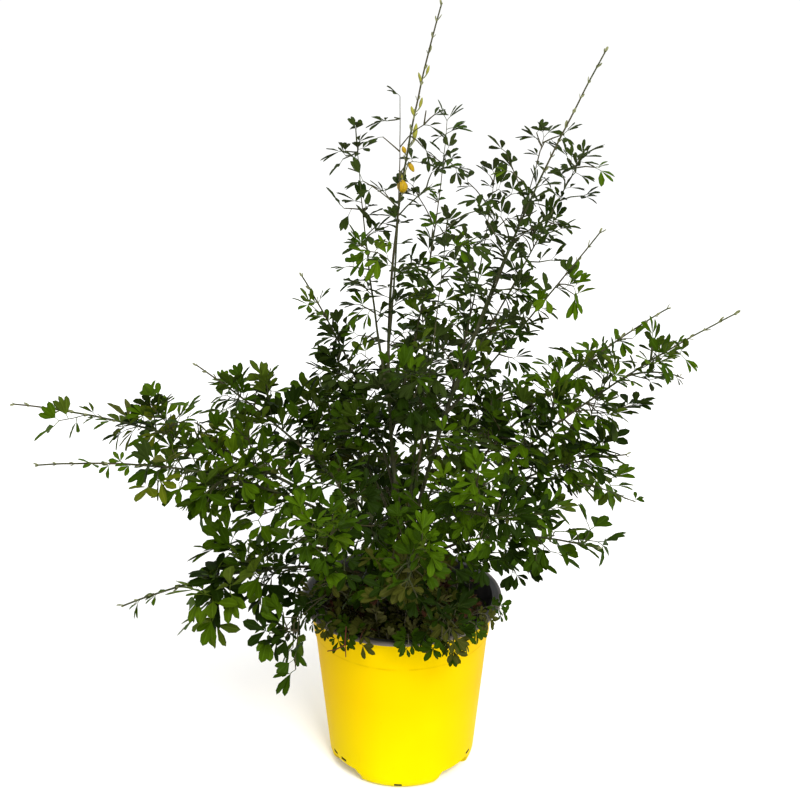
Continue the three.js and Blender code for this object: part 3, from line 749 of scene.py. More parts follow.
# Life-size leaves: three blunt leaflets on a short stalk
foliage = {
    "leaflet": 18.5,
    "width": 0.42,
    "stalk": 5.5,
    "stalkRadius": 0.4,
    "fan": 50,
    "thickness": 0.4,
    "stations": (0.28, 0.6, 0.87),
    "widths": (0.46, 1.0, 0.72),
    "kinds": 14,
    "middleLength": 1.06,
    "outerLength": 0.95,
    "tipReach": 1.1,  # how far the leaf's tip and sides lie off its root, in leaflets
    "wing": 0.8,
    "lowSize": 1.15,
    "highSize": 0.86,
    "lowWidth": 1.0,
    "highWidth": 0.6,
    "lowTilt": 0.8,
    "highTilt": 0.1,
    "stemStep": 11,
    "twigStep": 9.5,
    "extraStep": 13,
    "fullSpread": 30,
    "reachOn": 9,
    "fullHeight": 380,
    "thinHeight": 200,
    "lowHeight": 212,
    "mouthSide": (-92, -2),
    "fullMiddle": (-70, 0),
    "fullWidth": 230,
    "thinWidth": 90,
    "thinning": 0.7,
    "apart": 8,
    "lowSlim": 0.88,  # how much thinner the limbs look than the part's, low and high in the crown
    "highSlim": 0.66,
    "boughStep": 15,
    "boughTwig": (16, 38),
    "boughFrom": 330,
    "highApart": 12.6,
    "smallApart": 4,
    "rimSize": 0.66,
    "frontSize": 0.82,
    "asideSize": 1.2,
    "asideApart": 1.4,
    "lowSplay": 58,
    "highSplay": 74,
    "splayRange": 16,
    "turnRange": 30,
    "sizes": (0.84, 0.32),
    "rosette": 2,
    "rosetteSplay": (26, 34),
    "bow": 0.16,
    "twigRing": 9,
    "twigTip": 0.5,
    "above": 8,  # how far above the compost leaves stay, and the small ones
    "smallAbove": 3,
    "edge": 0.01,  # how far past the CAD box a leaf may reach, of each side
}


# One leaflet from its root: points, and how close each lies to the midrib
def leafletPoints(length, width, fold, droop):
    points = [(0, 0, 0)]
    marks = [1.0]
    for share, wide in zip(foliage["stations"], foliage["widths"]):
        half = width * wide / 2
        sag = -droop * share * share
        under = sag - foliage["thickness"]
        edge = sag + fold * wide
        points += [(length * share, y, z) for y, z in ((half, edge), (0, sag), (-half, edge), (0, under))]
        marks += [0, 1, 0, 1]
    points.append((length, 0, -droop))
    marks.append(0.6)
    return np.array(points), marks


def leafletFaces():
    count = len(foliage["stations"])
    tip = 1 + 4 * count
    upper = [(0, 2, 1), (0, 3, 2)]
    lower = [(0, 1, 4), (0, 4, 3)]
    for i in range(count - 1):
        a = 1 + 4 * i
        b = a + 4
        upper += [(a, a + 1, b + 1), (a, b + 1, b), (a + 1, a + 2, b + 2), (a + 1, b + 2, b + 1)]
        lower += [(a, b, b + 3), (a, b + 3, a + 3), (a + 3, b + 3, b + 2), (a + 3, b + 2, a + 2)]
    a = tip - 4
    upper += [(a, a + 1, tip), (a + 1, a + 2, tip)]
    lower += [(a, tip, a + 3), (a + 3, tip, a + 2)]
    return upper, lower


# How the kinds of leaves differ: the least of each value and its range
leafRanges = {
    "stalk": (0.7, 0.6),
    "spread": (0.5, 0.7),
    "length": (0.82, 0.3),
    "width": (0.88, 0.24),
    "fold": (0.5, 0.9),
    "droop": (1.0, 2.6),
    "fan": (0.85, 0.3),
    "tilt": (-22, 46),  # degrees
}


# A whole leaf: points, faces, which faces are under sides or stalk, and the midrib marks
def leafKind(draw):
    upper, lower = leafletFaces()
    shape = Heap()
    vary = lambda name: ranged(leafRanges[name], draw)
    stalk = foliage["stalk"] * vary("stalk")
    spread = vary("spread")
    for k in (-1, 0, 1):
        length = foliage["leaflet"] * vary("length") * foliage["outerLength" if k else "middleLength"]
        width = length * foliage["width"] * vary("width")
        points, marks = leafletPoints(length, width, vary("fold"), vary("droop"))
        turn = math.radians(k * foliage["fan"] * spread * vary("fan"))
        tilt = math.radians(vary("tilt"))
        flat = points[:, 0] * math.cos(tilt) - points[:, 2] * math.sin(tilt)
        high = points[:, 0] * math.sin(tilt) + points[:, 2] * math.cos(tilt)
        x = flat * math.cos(turn) - points[:, 1] * math.sin(turn) + stalk
        y = flat * math.sin(turn) + points[:, 1] * math.cos(turn)
        looks = [0] * len(upper) + [1] * len(lower)
        shape.add(np.stack((x, y, high), 1), np.array(upper + lower), looks, marks)
    ends = np.array(((0, 0, -0.3), (stalk * 0.6, 0, 0.1), (stalk + 0.6, 0, 0)))
    addTube(shape, ends, [foliage["stalkRadius"]] * 3, 3, 1)
    return [np.concatenate(part) for part in (shape.points, shape.faces, shape.looks, shape.marks)]


tones = {
    # name: upper side, under side and stalk, share of outer sprays, share of inner sprays
    # Deep: painted shade, the darkest leaves, dealt mostly to inner sprays and by the rim
    "Deep": ((0.009, 0.020, 0.001, 1), (0.015, 0.026, 0.003, 1), 0.17, 0.40),
    "Dark": ((0.022, 0.048, 0.001, 1), (0.032, 0.056, 0.004, 1), 0.36, 0.35),
    "Green": ((0.038, 0.077, 0.001, 1), (0.052, 0.082, 0.006, 1), 0.40, 0.22),
    "Fresh": ((0.053, 0.096, 0.002, 1), (0.068, 0.100, 0.010, 1), 0.06, 0.03),
    "Young": ((0.075, 0.097, 0.004, 1), (0.090, 0.104, 0.019, 1), 0.01, 0.0),
    "Olive": ((0.042, 0.046, 0.006, 1), (0.056, 0.056, 0.014, 1), 0.0, 0.0),
    # Sage: pale leaves for the pot's mouth, partly their own grey-green and partly painted light, pale
    # enough to look lit in the mouth's shade
    "Sage": ((0.105, 0.105, 0.030, 1), (0.120, 0.115, 0.045, 1), 0.0, 0.0),
    "Shade": ((0.021, 0.035, 0.005, 1), (0.030, 0.042, 0.010, 1), 0.0, 0.0),
    "Dry": ((0.100, 0.042, 0.022, 1), (0.110, 0.060, 0.034, 1), 0.0, 0.0),
}


# How they are dealt out: olive ones by the rim, shaded ones high up, the others by how far out, with darker
# tones deeper in the crown as painted shade
toneRule = {
    "rim": 1.3,
    "rimOlive": 0.32,
    "rimDark": 0.56,
    "shadeFrom": 0.35,
    "shadeRate": 1.6,
    "middle": np.array((0, 0, 330)),
    "reach": np.array((300, 220, 330)),
    "outerFrom": 0.35,
    "outerFade": 0.35,
    # front: low leaves out over the pot's front are dealt darker tones, painted shade under the crown
    "front": 0.3,
}


def leafFinish(name, colour, shine):
    finish = Finish(name, IOR=1.45, Specular_IOR_Level=0.02)
    mottle = finish.grain(110, 3).rising(0.3, 0.7)
    rib = finish.node("ShaderNodeAttribute", {"attribute_name": "midrib"}, output="Fac").rising(0.8, 1)
    deep = tuple(c * 0.72 for c in colour[:3]) + (1,)
    pale = tuple(c * 1.5 + 0.004 for c in colour[:3]) + (1,)
    finish.paint(finish.blend(rib * 0.55, finish.blend(mottle, deep, colour), pale))
    finish.rough(mottle * 0.12 + shine)
    finish.relief(finish.grain(1500, 2), 0.12, 0.4)
    return finish.material


# Keeps the leaves of all sprays a little apart
class Room:
    def __init__(self, cell):
        self.cell = cell
        self.cells = {}

    def claim(self, spot, apart):
        home = tuple(int(v // self.cell) for v in spot)
        for dx in (-1, 0, 1):
            for dy in (-1, 0, 1):
                for dz in (-1, 0, 1):
                    for other in self.cells.get((home[0] + dx, home[1] + dy, home[2] + dz), ()):
                        if math.dist(spot, other) < apart:
                            return False
        self.cells.setdefault(home, []).append(tuple(spot))
        return True


# What a shoot gets besides the source's side twigs and leaves
growth = {
    "stemRing": 7,
    "stemBend": 0.5,
    "bareEnd": 0.75,  # how thin the stem's end is, of the part's own
    "leafyEnd": 0.34,
    "toneAt": 0.8,
    "sideThick": 0.9,
    "sprayTone": 20,
    "sprayFan": 0.9,
    "sprayMiddle": 0.52,
    "sprayAside": 0.44,
    "sprayThick": 0.75,
    "sprayBare": 0.3,
    "extraSplay": (50, 20),
    "extraLong": (0.4, 0.4),
    "extraThick": 0.8,
    "boughThick": 0.6,
    "boughSplay": (50, 25),
}


class Shrub:
    def __init__(self):
        self.shoots = {}
        for row in shoots:
            self.shoots[row[0]] = Shoot(row, self.shoots)
        self.stems = []
        self.owners = []
        self.limbs = []
        self.limbRadii = []
        for shoot in self.shoots.values():
            points = shoot.samples(shoot.share, 1, sampling["stem"])[0]
            self.stems += points
            self.owners += [shoot.name] * len(points)
            points, radii = shoot.samples(0, shoot.share, sampling["bough"])
            self.limbs += points
            self.limbRadii += radii
        count = math.ceil(trunk["height"] / sampling["trunk"])
        self.limbs += [trunkAt(i / count) for i in range(count + 1)]
        self.limbRadii += [trunkRadius(i / count) for i in range(count + 1)]
        self.stems = np.array(self.stems)
        self.owners = np.array(self.owners)
        self.limbs = np.array(self.limbs)
        self.limbRadii = np.array(self.limbRadii)
        self.wood = Heap()
        self.twigs = Heap()
        self.leaves = {}
        self.buds = Heap()
        self.paleTwigs = Heap()
        self.room = Room(foliage["highApart"])
        spire = self.shoots["spire"]
        self.budSpots = []
        for height, aside, _, wide, _, _ in blossoms:
            self.budSpots.append((spire.atHeight(height) + np.array((aside, 0, 0)), wide / 2))
        draw = draws(seeds["leafKinds"])
        self.kinds = [leafKind(draw) for _ in range(foliage["kinds"])]
        low, high = (np.array(corner) / mm for corner in cadBox)
        margin = (high - low) * foliage["edge"]
        self.low = low - margin
        self.high = high + margin
        self.leafCount = 0

    # Whether a spot lies at a yellow bud or between it and the side that the photo shows
    def hidesBlossom(self, spot):
        if spot[2] < blossomSpace["from"]:
            return False
        for bud, half in self.budSpots:
            off = bud - spot
            aside = blossomSpace["aside"] + half * blossomSpace["swell"]
            if blossomSpace["behind"] < off[1] < blossomSpace["front"] and abs(off[0]) < aside:
                if abs(off[2] + off[1] * blossomSpace["rise"]) < aside:
                    return True
        return False

    def isFree(self, point, own, width, near):
        reach = math.hypot(point[0], point[1])
        low = point[2] < pot["height"] + clear["pot"]
        if point[2] < clear["pot"] or (low and reach < pot["lipRadius"] + clear["pot"]):
            return False
        distances = np.sqrt(((self.stems - point) ** 2).sum(1))
        mine = self.owners == own
        if distances[mine].min() + clear["neighbour"] > distances[~mine].min():
            return False
        gaps = np.sqrt(((self.limbs[near] - point) ** 2).sum(1))
        return bool((gaps > self.limbRadii[near] + width + clear["limb"]).all())

    # The source's rule for one mass: its side twigs, the places of its large leaves, where its
    # leafy part ends, and its draws
    def frameOf(self, shoot, index):
        draw = draws(seeds["masses"][0] + index * seeds["masses"][1])
        first = shoot.share + clear["joint"] / shoot.length
        leafyEnd = 1 - (1 - shoot.share) * shoot.spike
        outward = shoot.at(1) - trunkAt(1)
        outward[2] = 0
        light = unit(unit(outward) * massLeaf["outward"] + up)
        near = np.sqrt(((self.limbs - shoot.at(shoot.share)) ** 2).sum(1)) > sampling["joint"]
        taken = list(shoot.samples(first, 1, sampling["stem"])[0])
        sideTwigs = []
        sprays = []

        def isOpen(spots):
            held = np.array(taken)
            return all(((held - p) ** 2).sum(1).min() > clear["leaf"] ** 2 for p in spots)

        def addLeaf(node, directions, scale, roll):
            height = (node[2] - pot["height"]) / (crownTop - pot["height"])
            size = scale * mixed(massLeaf["lowSize"], massLeaf["highSize"], height)
            for along in directions:
                face = turned(light, along, roll * massLeaf["roll"])
                face = unit(face - along * (face @ along))
                outline = massLeafPoints(node, along, face, size)
                ends = [p for i, p in enumerate(outline) if i % 4 != 0]
                spots = [q for p in ends for q in (p, mixed(p, node, 0.4))]
                if isOpen(spots) and all(self.isFree(p, shoot.name, massLeaf["crown"], near) for p in ends):
                    sprays.append((node, along, face, size))
                    taken.extend(spots)
                    return True
            return False

        def around(along, side, turn):
            return [splayedFrom(along, side, turn + k, twig["leafSplay"]) for k in (0, 90, -90, 180)]

        for j in range(shoot.twigs):
            share = (j + 0.3 + 0.3 * draw()) / shoot.twigs
            t = first + (leafyEnd - first) * share
            node = shoot.at(t)
            splay = twig["splay"] + twig["splayRange"] * (draw() - 0.5)
            long = shoot.spread * (1 - twig["shrink"] * share) * ranged(twig["sizes"], draw)
            turn = j * twig["turn"] + index * 51 + 30 * draw()
            stemLeaf = (2 * draw() - 1, ranged(twig["sizes"], draw))
            rolls = [
                (2 * draw() - 1, ranged(twig["sizes"], draw), 60 * draw() - 30) for _ in twig["leafPlaces"]
            ]
            direction = None
            for k in range(twig["retries"]):
                tried = splayedFrom(shoot.along(t), shoot.side, turn + k * twig["retryTurn"], splay)
                probes = [node + tried * long * s for s in twig["probes"]]
                width = twig["stemTipRadius"]
                if isOpen(probes) and all(self.isFree(p, shoot.name, width, near) for p in probes):
                    direction = tried
                    break
            after = t + (leafyEnd - first) * twig["stemLeafAfter"] / shoot.twigs
            ways = around(shoot.along(after), shoot.side, turn + 180)
            addLeaf(shoot.at(after), ways, stemLeaf[1], stemLeaf[0])
            if direction is None:
                continue
            side = unit(cross(direction, up))
            sideTwigs.append((node, direction, long, shoot.radius(t) * twig["sideShare"]))
            taken.extend(node + direction * long * s for s in twig["keeps"])
            for place, (roll, scale, aside) in zip(twig["leafPlaces"], rolls):
                spot = node + direction * long * place
                if place < 1:
                    addLeaf(spot, around(direction, side, 90 + 3 * aside), scale, roll)
                else:
                    splays = ((0, 0), (90, twig["endSplay"]), (-90, twig["endSplay"]))
                    ahead = [splayedFrom(direction, side, turn, splay) for turn, splay in splays]
                    if not addLeaf(spot, ahead, scale, roll):
                        addLeaf(spot, ahead, scale * massLeaf["endSize"], roll)
        addLeaf(shoot.at(min(leafyEnd, 0.995)), [shoot.along(leafyEnd - 0.01)], 0.85, 0)
        return sideTwigs, sprays, leafyEnd, draw

    def tone(self, spot):
        rule = toneRule
        if self.draw() < rimShare(spot) * rule["rim"]:
            pick = self.draw()
            return "Olive" if pick < rule["rimOlive"] else "Dark" if pick < rule["rimDark"] else "Deep"
        if self.draw() < (heightShare(spot[2]) - rule["shadeFrom"]) * rule["shadeRate"]:
            return "Shade"
        # Leaves deep in the crown draw darker tones and outer ones lighter: painted shade inside the crown
        depth = math.dist(spot / rule["reach"], rule["middle"] / rule["reach"])
        outer = within((depth - rule["outerFrom"]) / rule["outerFade"])
        # Painted shade: fewer light tones low over the pot's front
        outer *= mixed(1, rule["front"], frontShare(spot))
        pick = self.draw()
        for name, (_, _, outside, inside) in tones.items():
            pick -= mixed(inside, outside, outer)
            if pick <= 0:
                return name
        return "Green"

    # Adds one leaf if it has room
    def addLeaf(self, node, along, face, size, tone, small=False):
        along = unit(along)
        face = unit(face - along * (face @ along))
        across = cross(face, along)
        leaflet = foliage["leaflet"]
        middle = node + along * (foliage["stalk"] + leaflet * 0.5) * size
        tip = node + along * (foliage["stalk"] + leaflet * foliage["tipReach"]) * size
        wing = leaflet * foliage["wing"] * size
        above = foliage["smallAbove" if small else "above"]
        for spot in (tip, middle, middle + across * wing, middle - across * wing):
            if (spot < self.low).any() or (spot > self.high).any():
                return
            if inPotWall(spot, above) or self.hidesBlossom(spot):
                return
        if overMouth(middle) and not small:
            return
        apart = mixed(foliage["apart"], foliage["highApart"], heightShare(node[2]))
        apart *= mixed(1, foliage["asideApart"], asideShare(node))
        if not self.room.claim(middle, foliage["smallApart"] if small else apart):
            return
        points, faces, looks, marks = self.kinds[int(self.draw() * len(self.kinds))]
        slim = mixed(foliage["lowWidth"], foliage["highWidth"], heightShare(node[2]))
        turn = np.stack((along, across * slim, face)) * size
        heap = self.leaves.setdefault(tone + ("Left" if node[0] < 0 else "Right"), Heap())
        heap.add(points @ turn + node, faces, looks, marks)
        self.leafCount += 1

    def leafSize(self, spot):
        size = mixed(foliage["lowSize"], foliage["highSize"], heightShare(spot[2]))
        rim = mixed(1, foliage["rimSize"], rimShare(spot))
        front = mixed(1, foliage["frontSize"], frontShare(spot))
        aside = mixed(1, foliage["asideSize"], asideShare(spot))
        return size * min(rim, front) * aside * ranged(foliage["sizes"], self.draw)

    # Leaves in a spiral along a path, and a rosette at its end
    def leafPath(self, at, length, start, end, step, tone):
        draw = self.draw
        splay = mixed(foliage["lowSplay"], foliage["highSplay"], heightShare(at(end)[2]))
        sway = foliage["splayRange"]
        count = max(1, int(length * (end - start) / step * (0.5 + 0.5 * fullness(at(end)))))
        turn = 360 * draw()
        for i in range(count):
            t = start + (end - start) * (i + 0.7 * draw()) / count
            along = unit(at(min(1, t + 0.02)) - at(max(0, t - 0.02)))
            turn += twig["turn"] + foliage["turnRange"] * draw()
            way = splayedFrom(along, sideOf(along), turn, splay + sway * draw() - sway / 2)
            self.addLeaf(at(t), way, facing(at(t), draw), self.leafSize(at(t)), tone)
        along = unit(at(end) - at(end - 0.05))
        for k in range(foliage["rosette"]):
            around = turn + 360 * k / foliage["rosette"]
            way = splayedFrom(along, sideOf(along), around, ranged(foliage["rosetteSplay"], draw))
            self.addLeaf(at(end), way, facing(at(end), draw), self.leafSize(at(end)), tone)

    # A fine twig from a node, a little bowed, with its leaves
    def growTwig(self, node, direction, long, thick, tone, bare=0.12):
        if overMouth(node + direction * long):
            return
        bow = up * (self.draw() - 0.35) + cross(direction, up) * (self.draw() - 0.5)
        bow = bow * long * foliage["bow"]
        at = lambda s: node + direction * long * s + bow * 4 * s * (1 - s)
        rings = max(3, int(long / foliage["twigRing"]) + 1)
        places = [i / (rings - 1) for i in range(rings)]
        radii = [mixed(thick, foliage["twigTip"], s) for s in places]
        addTube(self.twigs, [at(s) for s in places], radii, 4)
        self.leafPath(at, long, bare, 1, foliage["twigStep"], tone)

    def dress(self, shoot, index):
        sideTwigs, sprays, leafyEnd, sourceDraw = self.frameOf(shoot, index)
        self.draw = draws(seeds["dressing"][0] + index * seeds["dressing"][1])
        draw = self.draw
        first = shoot.share
        last = 1 if shoot.spike else 1 + foliage["reachOn"] / shoot.length
        leafyEnd = leafyEnd if shoot.spike else last
        count = max(4, int(shoot.length * (1 - first) / growth["stemRing"]))
        places = [first + (last - first) * i / count for i in range(count + 1)]
        spots = [shoot.at(t) + wobble(shoot.at(t), growth["stemBend"]) for t in places]
        end = growth["bareEnd" if shoot.spike else "leafyEnd"]
        radii = [shoot.slim(t) * mixed(1, end, (t - first) / (last - first)) for t in places]
        addTube(self.twigs, spots, radii, 6)
        tone = self.tone(shoot.at(growth["toneAt"]))
        self.leafPath(shoot.at, shoot.length, first, leafyEnd, foliage["stemStep"], tone)
        for node, direction, long, thick in sideTwigs:
            tone = self.tone(node + direction * long)
            self.growTwig(node, direction, long, thick * growth["sideThick"], tone)
        for node, along, face, size in sprays:
            tone = self.tone(node + along * growth["sprayTone"])
            full = fullness(node)
            for k in (-1, 0, 1):
                if k and draw() > full * 1.3 - 0.2:
                    continue
                way = turned(along, face, k * massLeaf["fan"] * growth["sprayFan"])
                long = massLeaf["length"] * size * growth["sprayAside" if k else "sprayMiddle"]
                self.growTwig(node, way, long, growth["sprayThick"], tone, growth["sprayBare"])
        self.growExtras(shoot, first, leafyEnd)
        self.addSpike(shoot, leafyEnd, sourceDraw)
        self.dressBough(shoot)
        for share, tip in wisps.get(shoot.name, ()):
            self.addWisp(shoot.at(share), np.array(tip, float))

    # Further twigs, so that the shoot is as full as the photo shows it
    def growExtras(self, shoot, first, leafyEnd):
        draw = self.draw
        leafy = shoot.length * (leafyEnd - first)
        slender = min(1, shoot.spread / foliage["fullSpread"])
        full = fullness(shoot.at(mixed(first, leafyEnd, 0.6))) ** 1.5
        more, reach = fills.get(shoot.name, (1, 1))
        extra = int(leafy / foliage["extraStep"] * slender * full * more)
        for i in range(extra):
            t = first + (leafyEnd - first) * (i + draw()) / extra
            turn = twig["turn"] * i + 77 + 40 * draw()
            way = splayedFrom(shoot.along(t), shoot.side, turn, ranged(growth["extraSplay"], draw))
            long = shoot.spread * ranged(growth["extraLong"], draw) * (1 - 0.35 * i / extra) * reach
            self.growTwig(shoot.at(t), way, long, growth["extraThick"], self.tone(shoot.at(t) + way * long))

    # A long thin twig that is nearly bare, with a few small leaves and buds
    def addWisp(self, foot, tip):
        draw = self.draw
        long = math.dist(foot, tip)
        lift = up * long * wispShape["lift"]
        bend = wispShape["bend"]
        at = lambda s: mixed(foot, tip, s) + lift * 4 * s * (1 - s) + wobble(mixed(foot, tip, s), bend) * s
        places = np.linspace(0, 1, wispShape["rings"])
        addTube(self.twigs, [at(s) for s in places], [mixed(*wispShape["thick"], s) for s in places], 4)
        along = unit(tip - foot)
        side = unit(cross(along, up))
        for i, s in enumerate(np.arange(wispShape["bare"], 1, wispShape["step"] / long)):
            way = splayedFrom(along, side, twig["turn"] * i, ranged(wispShape["splay"], draw))
            if i % 3:
                addBud(self.buds, at(s), way, up, ranged(wispShape["bud"], draw))
            else:
                self.addLeaf(at(s), way, up + 0.4 * side, ranged(wispShape["leaf"], draw), "Dark", True)

    # Short leafy twigs along the upper part of a bough
    def dressBough(self, shoot):
        draw = self.draw
        count = int(shoot.length * shoot.share / foliage["boughStep"])
        for i in range(count):
            t = shoot.share * (i + draw()) / count
            spot = shoot.at(t)
            long = mixed(*foliage["boughTwig"], draw())
            turn = twig["turn"] * i + 50 * draw()
            way = splayedFrom(shoot.along(t), shoot.side, turn, ranged(growth["boughSplay"], draw))
            if spot[2] > foliage["boughFrom"] and t > 0.2 and draw() < 0.4 + 0.6 * fullness(spot):
                self.growTwig(spot, way, long, growth["boughThick"], self.tone(spot + way * long))

    # Small folded leaves and buds that hug the bare end of a shoot, and its few slender leaves
    def addSpike(self, shoot, leafyEnd, draw):
        if not shoot.spike:
            return
        long = shoot.length * (1 - leafyEnd)
        count = int(long / spikes["spacing"])
        for i in range(1, count + 1):
            t = leafyEnd + (1 - leafyEnd) * i / (count + 0.2)
            turn = i * twig["turn"] + 40 * draw()
            along = shoot.along(t)
            for k, (size, splay) in enumerate(spikes["buds"]):
                way = splayedFrom(along, shoot.side, turn + 130 * k, splay + 6 * draw())
                radial = splayedFrom(along, shoot.side, turn + 130 * k, 90)
                addBud(self.buds, shoot.at(t), way, radial, size * ranged(spikes["budSizes"], draw))
        leafy = spikes["leafy"].get(shoot.name, 0)
        count = int(long * leafy / spikes["leafStep"])
        for i in range(count):
            t = leafyEnd + (1 - leafyEnd) * leafy * (i + 0.2 + 0.6 * draw()) / count
            spot = shoot.at(t)
            along = shoot.along(t)
            for k in range(1 + int(1.6 * draw())):
                turn = twig["turn"] * i + 180 * k + 60 * draw()
                way = splayedFrom(along, shoot.side, turn, ranged(spikes["leafSplay"], draw))
                face = up + np.array((draw() - 0.5, draw() - 0.5, 0)) * 1.3
                self.addLeaf(spot, way, face, spikes["leafSize"] * ranged(twig["sizes"], draw), "Green")
            if draw() < spikes["twigShare"] and i < count * 0.75:
                way = unit(along + np.array((0, -0.5, -0.25)) + 0.7 * (draw() - 0.5) * shoot.side)
                self.growTwig(spot, way, mixed(*spikes["twigLength"], draw()), 0.5, "Green")


# Shoots with more or longer extra twigs: how many times as many, and how many times as long
fills = {
    "southwest_droop": (1, 1.5),
    "southwest_low": (0.3, 1.2),
    "west_low": (1.3, 1.4),
    "west_long": (1.6, 1.3),
    "east_front": (0.5, 1.2),
    "heart": (0.4, 1),
    "west_back": (1, 1.3),
    "back_left": (1.3, 1.1),
    "right_crown": (2.4, 1.1),
    "right_outer": (2.6, 1.2),
    "right_inner": (1.3, 1),
    "right_flare": (1.6, 1.6),
    "spire_left": (1.9, 1.2),
    "spire_mid": (1.5, 1),
    "spire_right": (1.5, 1),
}


# Thin twigs that stand out of the crown: the share along the shoot where each starts, and its tip
wisps = {
    "west_low": [(0.5, (-214, -40, 296))],
    "east_low": [(0.6, (240, 40, 263))],
    "east_long": [(0.72, (273, 20, 405))],
}
wispShape = {
    "lift": 0.07,
    "bend": 2.5,
    "rings": 14,
    "thick": (1.2, 0.6),
    "bare": 0.25,
    "step": 7,
    "splay": (35, 20),
    "bud": (3, 2),
    "leaf": (0.55, 0.25),
}


# The bare ends of the shoots: sizes of the buds at each place and the angles at which they stand
spikes = {
    "spacing": 13,
    "buds": ((7.5, 14), (5.5, 22), (4.5, 10)),
    "budSizes": (0.8, 0.4),
    "budWidth": 0.36,
    "leafy": {
        "west_long": 0.66, "west_low": 0.62, "southwest_low": 0.85, "west_back": 0.5, "west_high": 0.6,
        "east_long": 0.3, "east_high": 0.3,
    },
    "leafStep": 11,
    "leafSize": 0.76,
    "leafSplay": (34, 30),
    "twigShare": 0.4,
    "twigLength": (16, 30),
}


# The yellow buds on the flowering shoot, from the top down: height of the middle, how far it
# stands off the shoot towards +X, its length and width, lean from upright in degrees, and look
blossoms = [
    (696, 3.0, 9, 2.6, 18, 1),
    (690, -2.4, 9, 2.6, -16, 1),
    (668, 3.4, 10, 3.0, 14, 1),
    (661, -2.4, 9, 3.0, -16, 1),
    (642, 3.6, 17, 4.4, 8, 1),
    (627, -3.4, 7, 4.2, -20, 0),
    (612, 5.5, 10, 4.6, 150, 0),
    (604, -2.2, 6, 2.6, -24, 1),
    (594, 0.6, 12.5, 10.0, -6, 0),
]


# The space that leaves keep out of, so that the buds show
blossomSpace = {"from": 580, "behind": -5, "front": 80, "aside": 6, "swell": 2.1, "rise": 0.36}


def addBlossoms(shrub):
    shoot = shrub.shoots["spire"]
    heap = Heap()
    places = np.linspace(-0.5, 0.5, 9)
    for height, aside, long, wide, lean, look in blossoms:
        middle = shoot.atHeight(height) + np.array((aside, -1.5, 0))
        way = np.array((math.sin(math.radians(lean)), -0.12, math.cos(math.radians(lean))))
        bows = [math.cos(math.pi * s * (0.98 if s < 0 else 0.9)) for s in places]
        radii = [wide / 2 * max(0.12, bow) ** 0.75 for bow in bows]
        addTube(heap, [middle + way * long * s for s in places], radii, 10, look)
        foot = middle - way * long * 0.46
        stem = shoot.atHeight(height - long * 0.8)
        sag = mixed(stem, foot, 0.5) + np.array((0, -0.8, -0.6))
        addTube(heap, [stem, sag, foot], [0.5, 0.5, 0.7], 5, 2)
        cup = [foot - way * 0.6, foot + way * long * 0.08, foot + way * long * 0.2]
        addTube(heap, cup, [wide * 0.1, wide * 0.26, wide * 0.34], 8, 2)
    amber = petalFinish("amberPetals", (0.40, 0.25, 0.004, 1))
    green = petalFinish("yellowGreenBuds", (0.24, 0.24, 0.03, 1))
    settle(heap.piece("yellowBuds", [amber, green, budFinish()]))


def petalFinish(name, colour):
    finish = Finish(name, Roughness=0.5, Specular_IOR_Level=0.15)
    folds = finish.grain(500, 2, (1, 1, 0.2)).rising(0.35, 0.7)
    deep = tuple(c * 0.7 for c in colour[:3]) + (1,)
    finish.paint(finish.blend(folds, deep, colour))
    return finish.material


# A folded scale or bud: a slim closed drop along a direction
def addBud(heap, root, along, face, length):
    points, _ = leafletPoints(length, length * spikes["budWidth"], length * 0.05, -length * 0.06)
    upper, lower = leafletFaces()
    heap.add(points @ np.stack((along, cross(face, along), face)) + root, np.array(upper + lower))


# Zones of the crown: where each starts and over what length it comes or goes
zones = {
    "rimReach": 135,
    "rimHalf": 95,
    "rimTop": (325, 100),
    "frontHalf": 130,
    "front": (-30, 50),
    "low": (400, 80),
    "aside": (85, 60),
    "lean": (0.5, 70),  # the thin top starts higher to the right
    "footFade": 60,
    "mouthBack": 10,
    "mouthTop": (165, 0.55),
    "loose": (1.5, 0.6),  # how loosely leaves face, low and high
}


# How high a spot lies in the crown, from 0 at the pot's rim to 1
def heightShare(height):
    return within((height - pot["height"]) / (crownTop - pot["height"]))


# How thickly the crown is leaved at a spot: less towards its top and its far sides
def fullness(spot):
    start = foliage["fullHeight"] + zones["lean"][0] * max(0, spot[0] - zones["lean"][1])
    high = within((spot[2] - start) / foliage["thinHeight"])
    low = within((foliage["lowHeight"] - spot[2]) / zones["footFade"])
    aside = math.dist(spot[:2], foliage["fullMiddle"])
    wide = within((aside - foliage["fullWidth"]) / foliage["thinWidth"])
    return 1 - foliage["thinning"] * max(high, wide, low)


# The open side of the pot's mouth, which the photo looks into, and the space in front of it
def overMouth(spot):
    low, high = foliage["mouthSide"]
    top, slope = zones["mouthTop"]
    before = zones["mouthBack"] - spot[1]
    return low < spot[0] < high and before > 0 and spot[2] < top + before * slope


# How near a spot lies to the pot's mouth, or in front of it: 1 at the rim's level, 0 away from it
def rimShare(spot):
    inFront = spot[1] < 0 and abs(spot[0]) < zones["rimHalf"]
    if math.hypot(spot[0], spot[1]) > zones["rimReach"] and not inFront:
        return 0
    return within((zones["rimTop"][0] - spot[2]) / zones["rimTop"][1])


# How far a spot stands out over the front of the pot, from 0 to 1
def frontShare(spot):
    if abs(spot[0]) > zones["frontHalf"]:
        return 0
    return within((zones["front"][0] - spot[1]) / zones["front"][1]) * lowShare(spot)


def lowShare(spot):
    return within((zones["low"][0] - spot[2]) / zones["low"][1])


# How far a spot lies out at the left or right of the lower crown, where the leaves are larger
def asideShare(spot):
    return within((abs(spot[0]) - zones["aside"][0]) / zones["aside"][1]) * lowShare(spot)


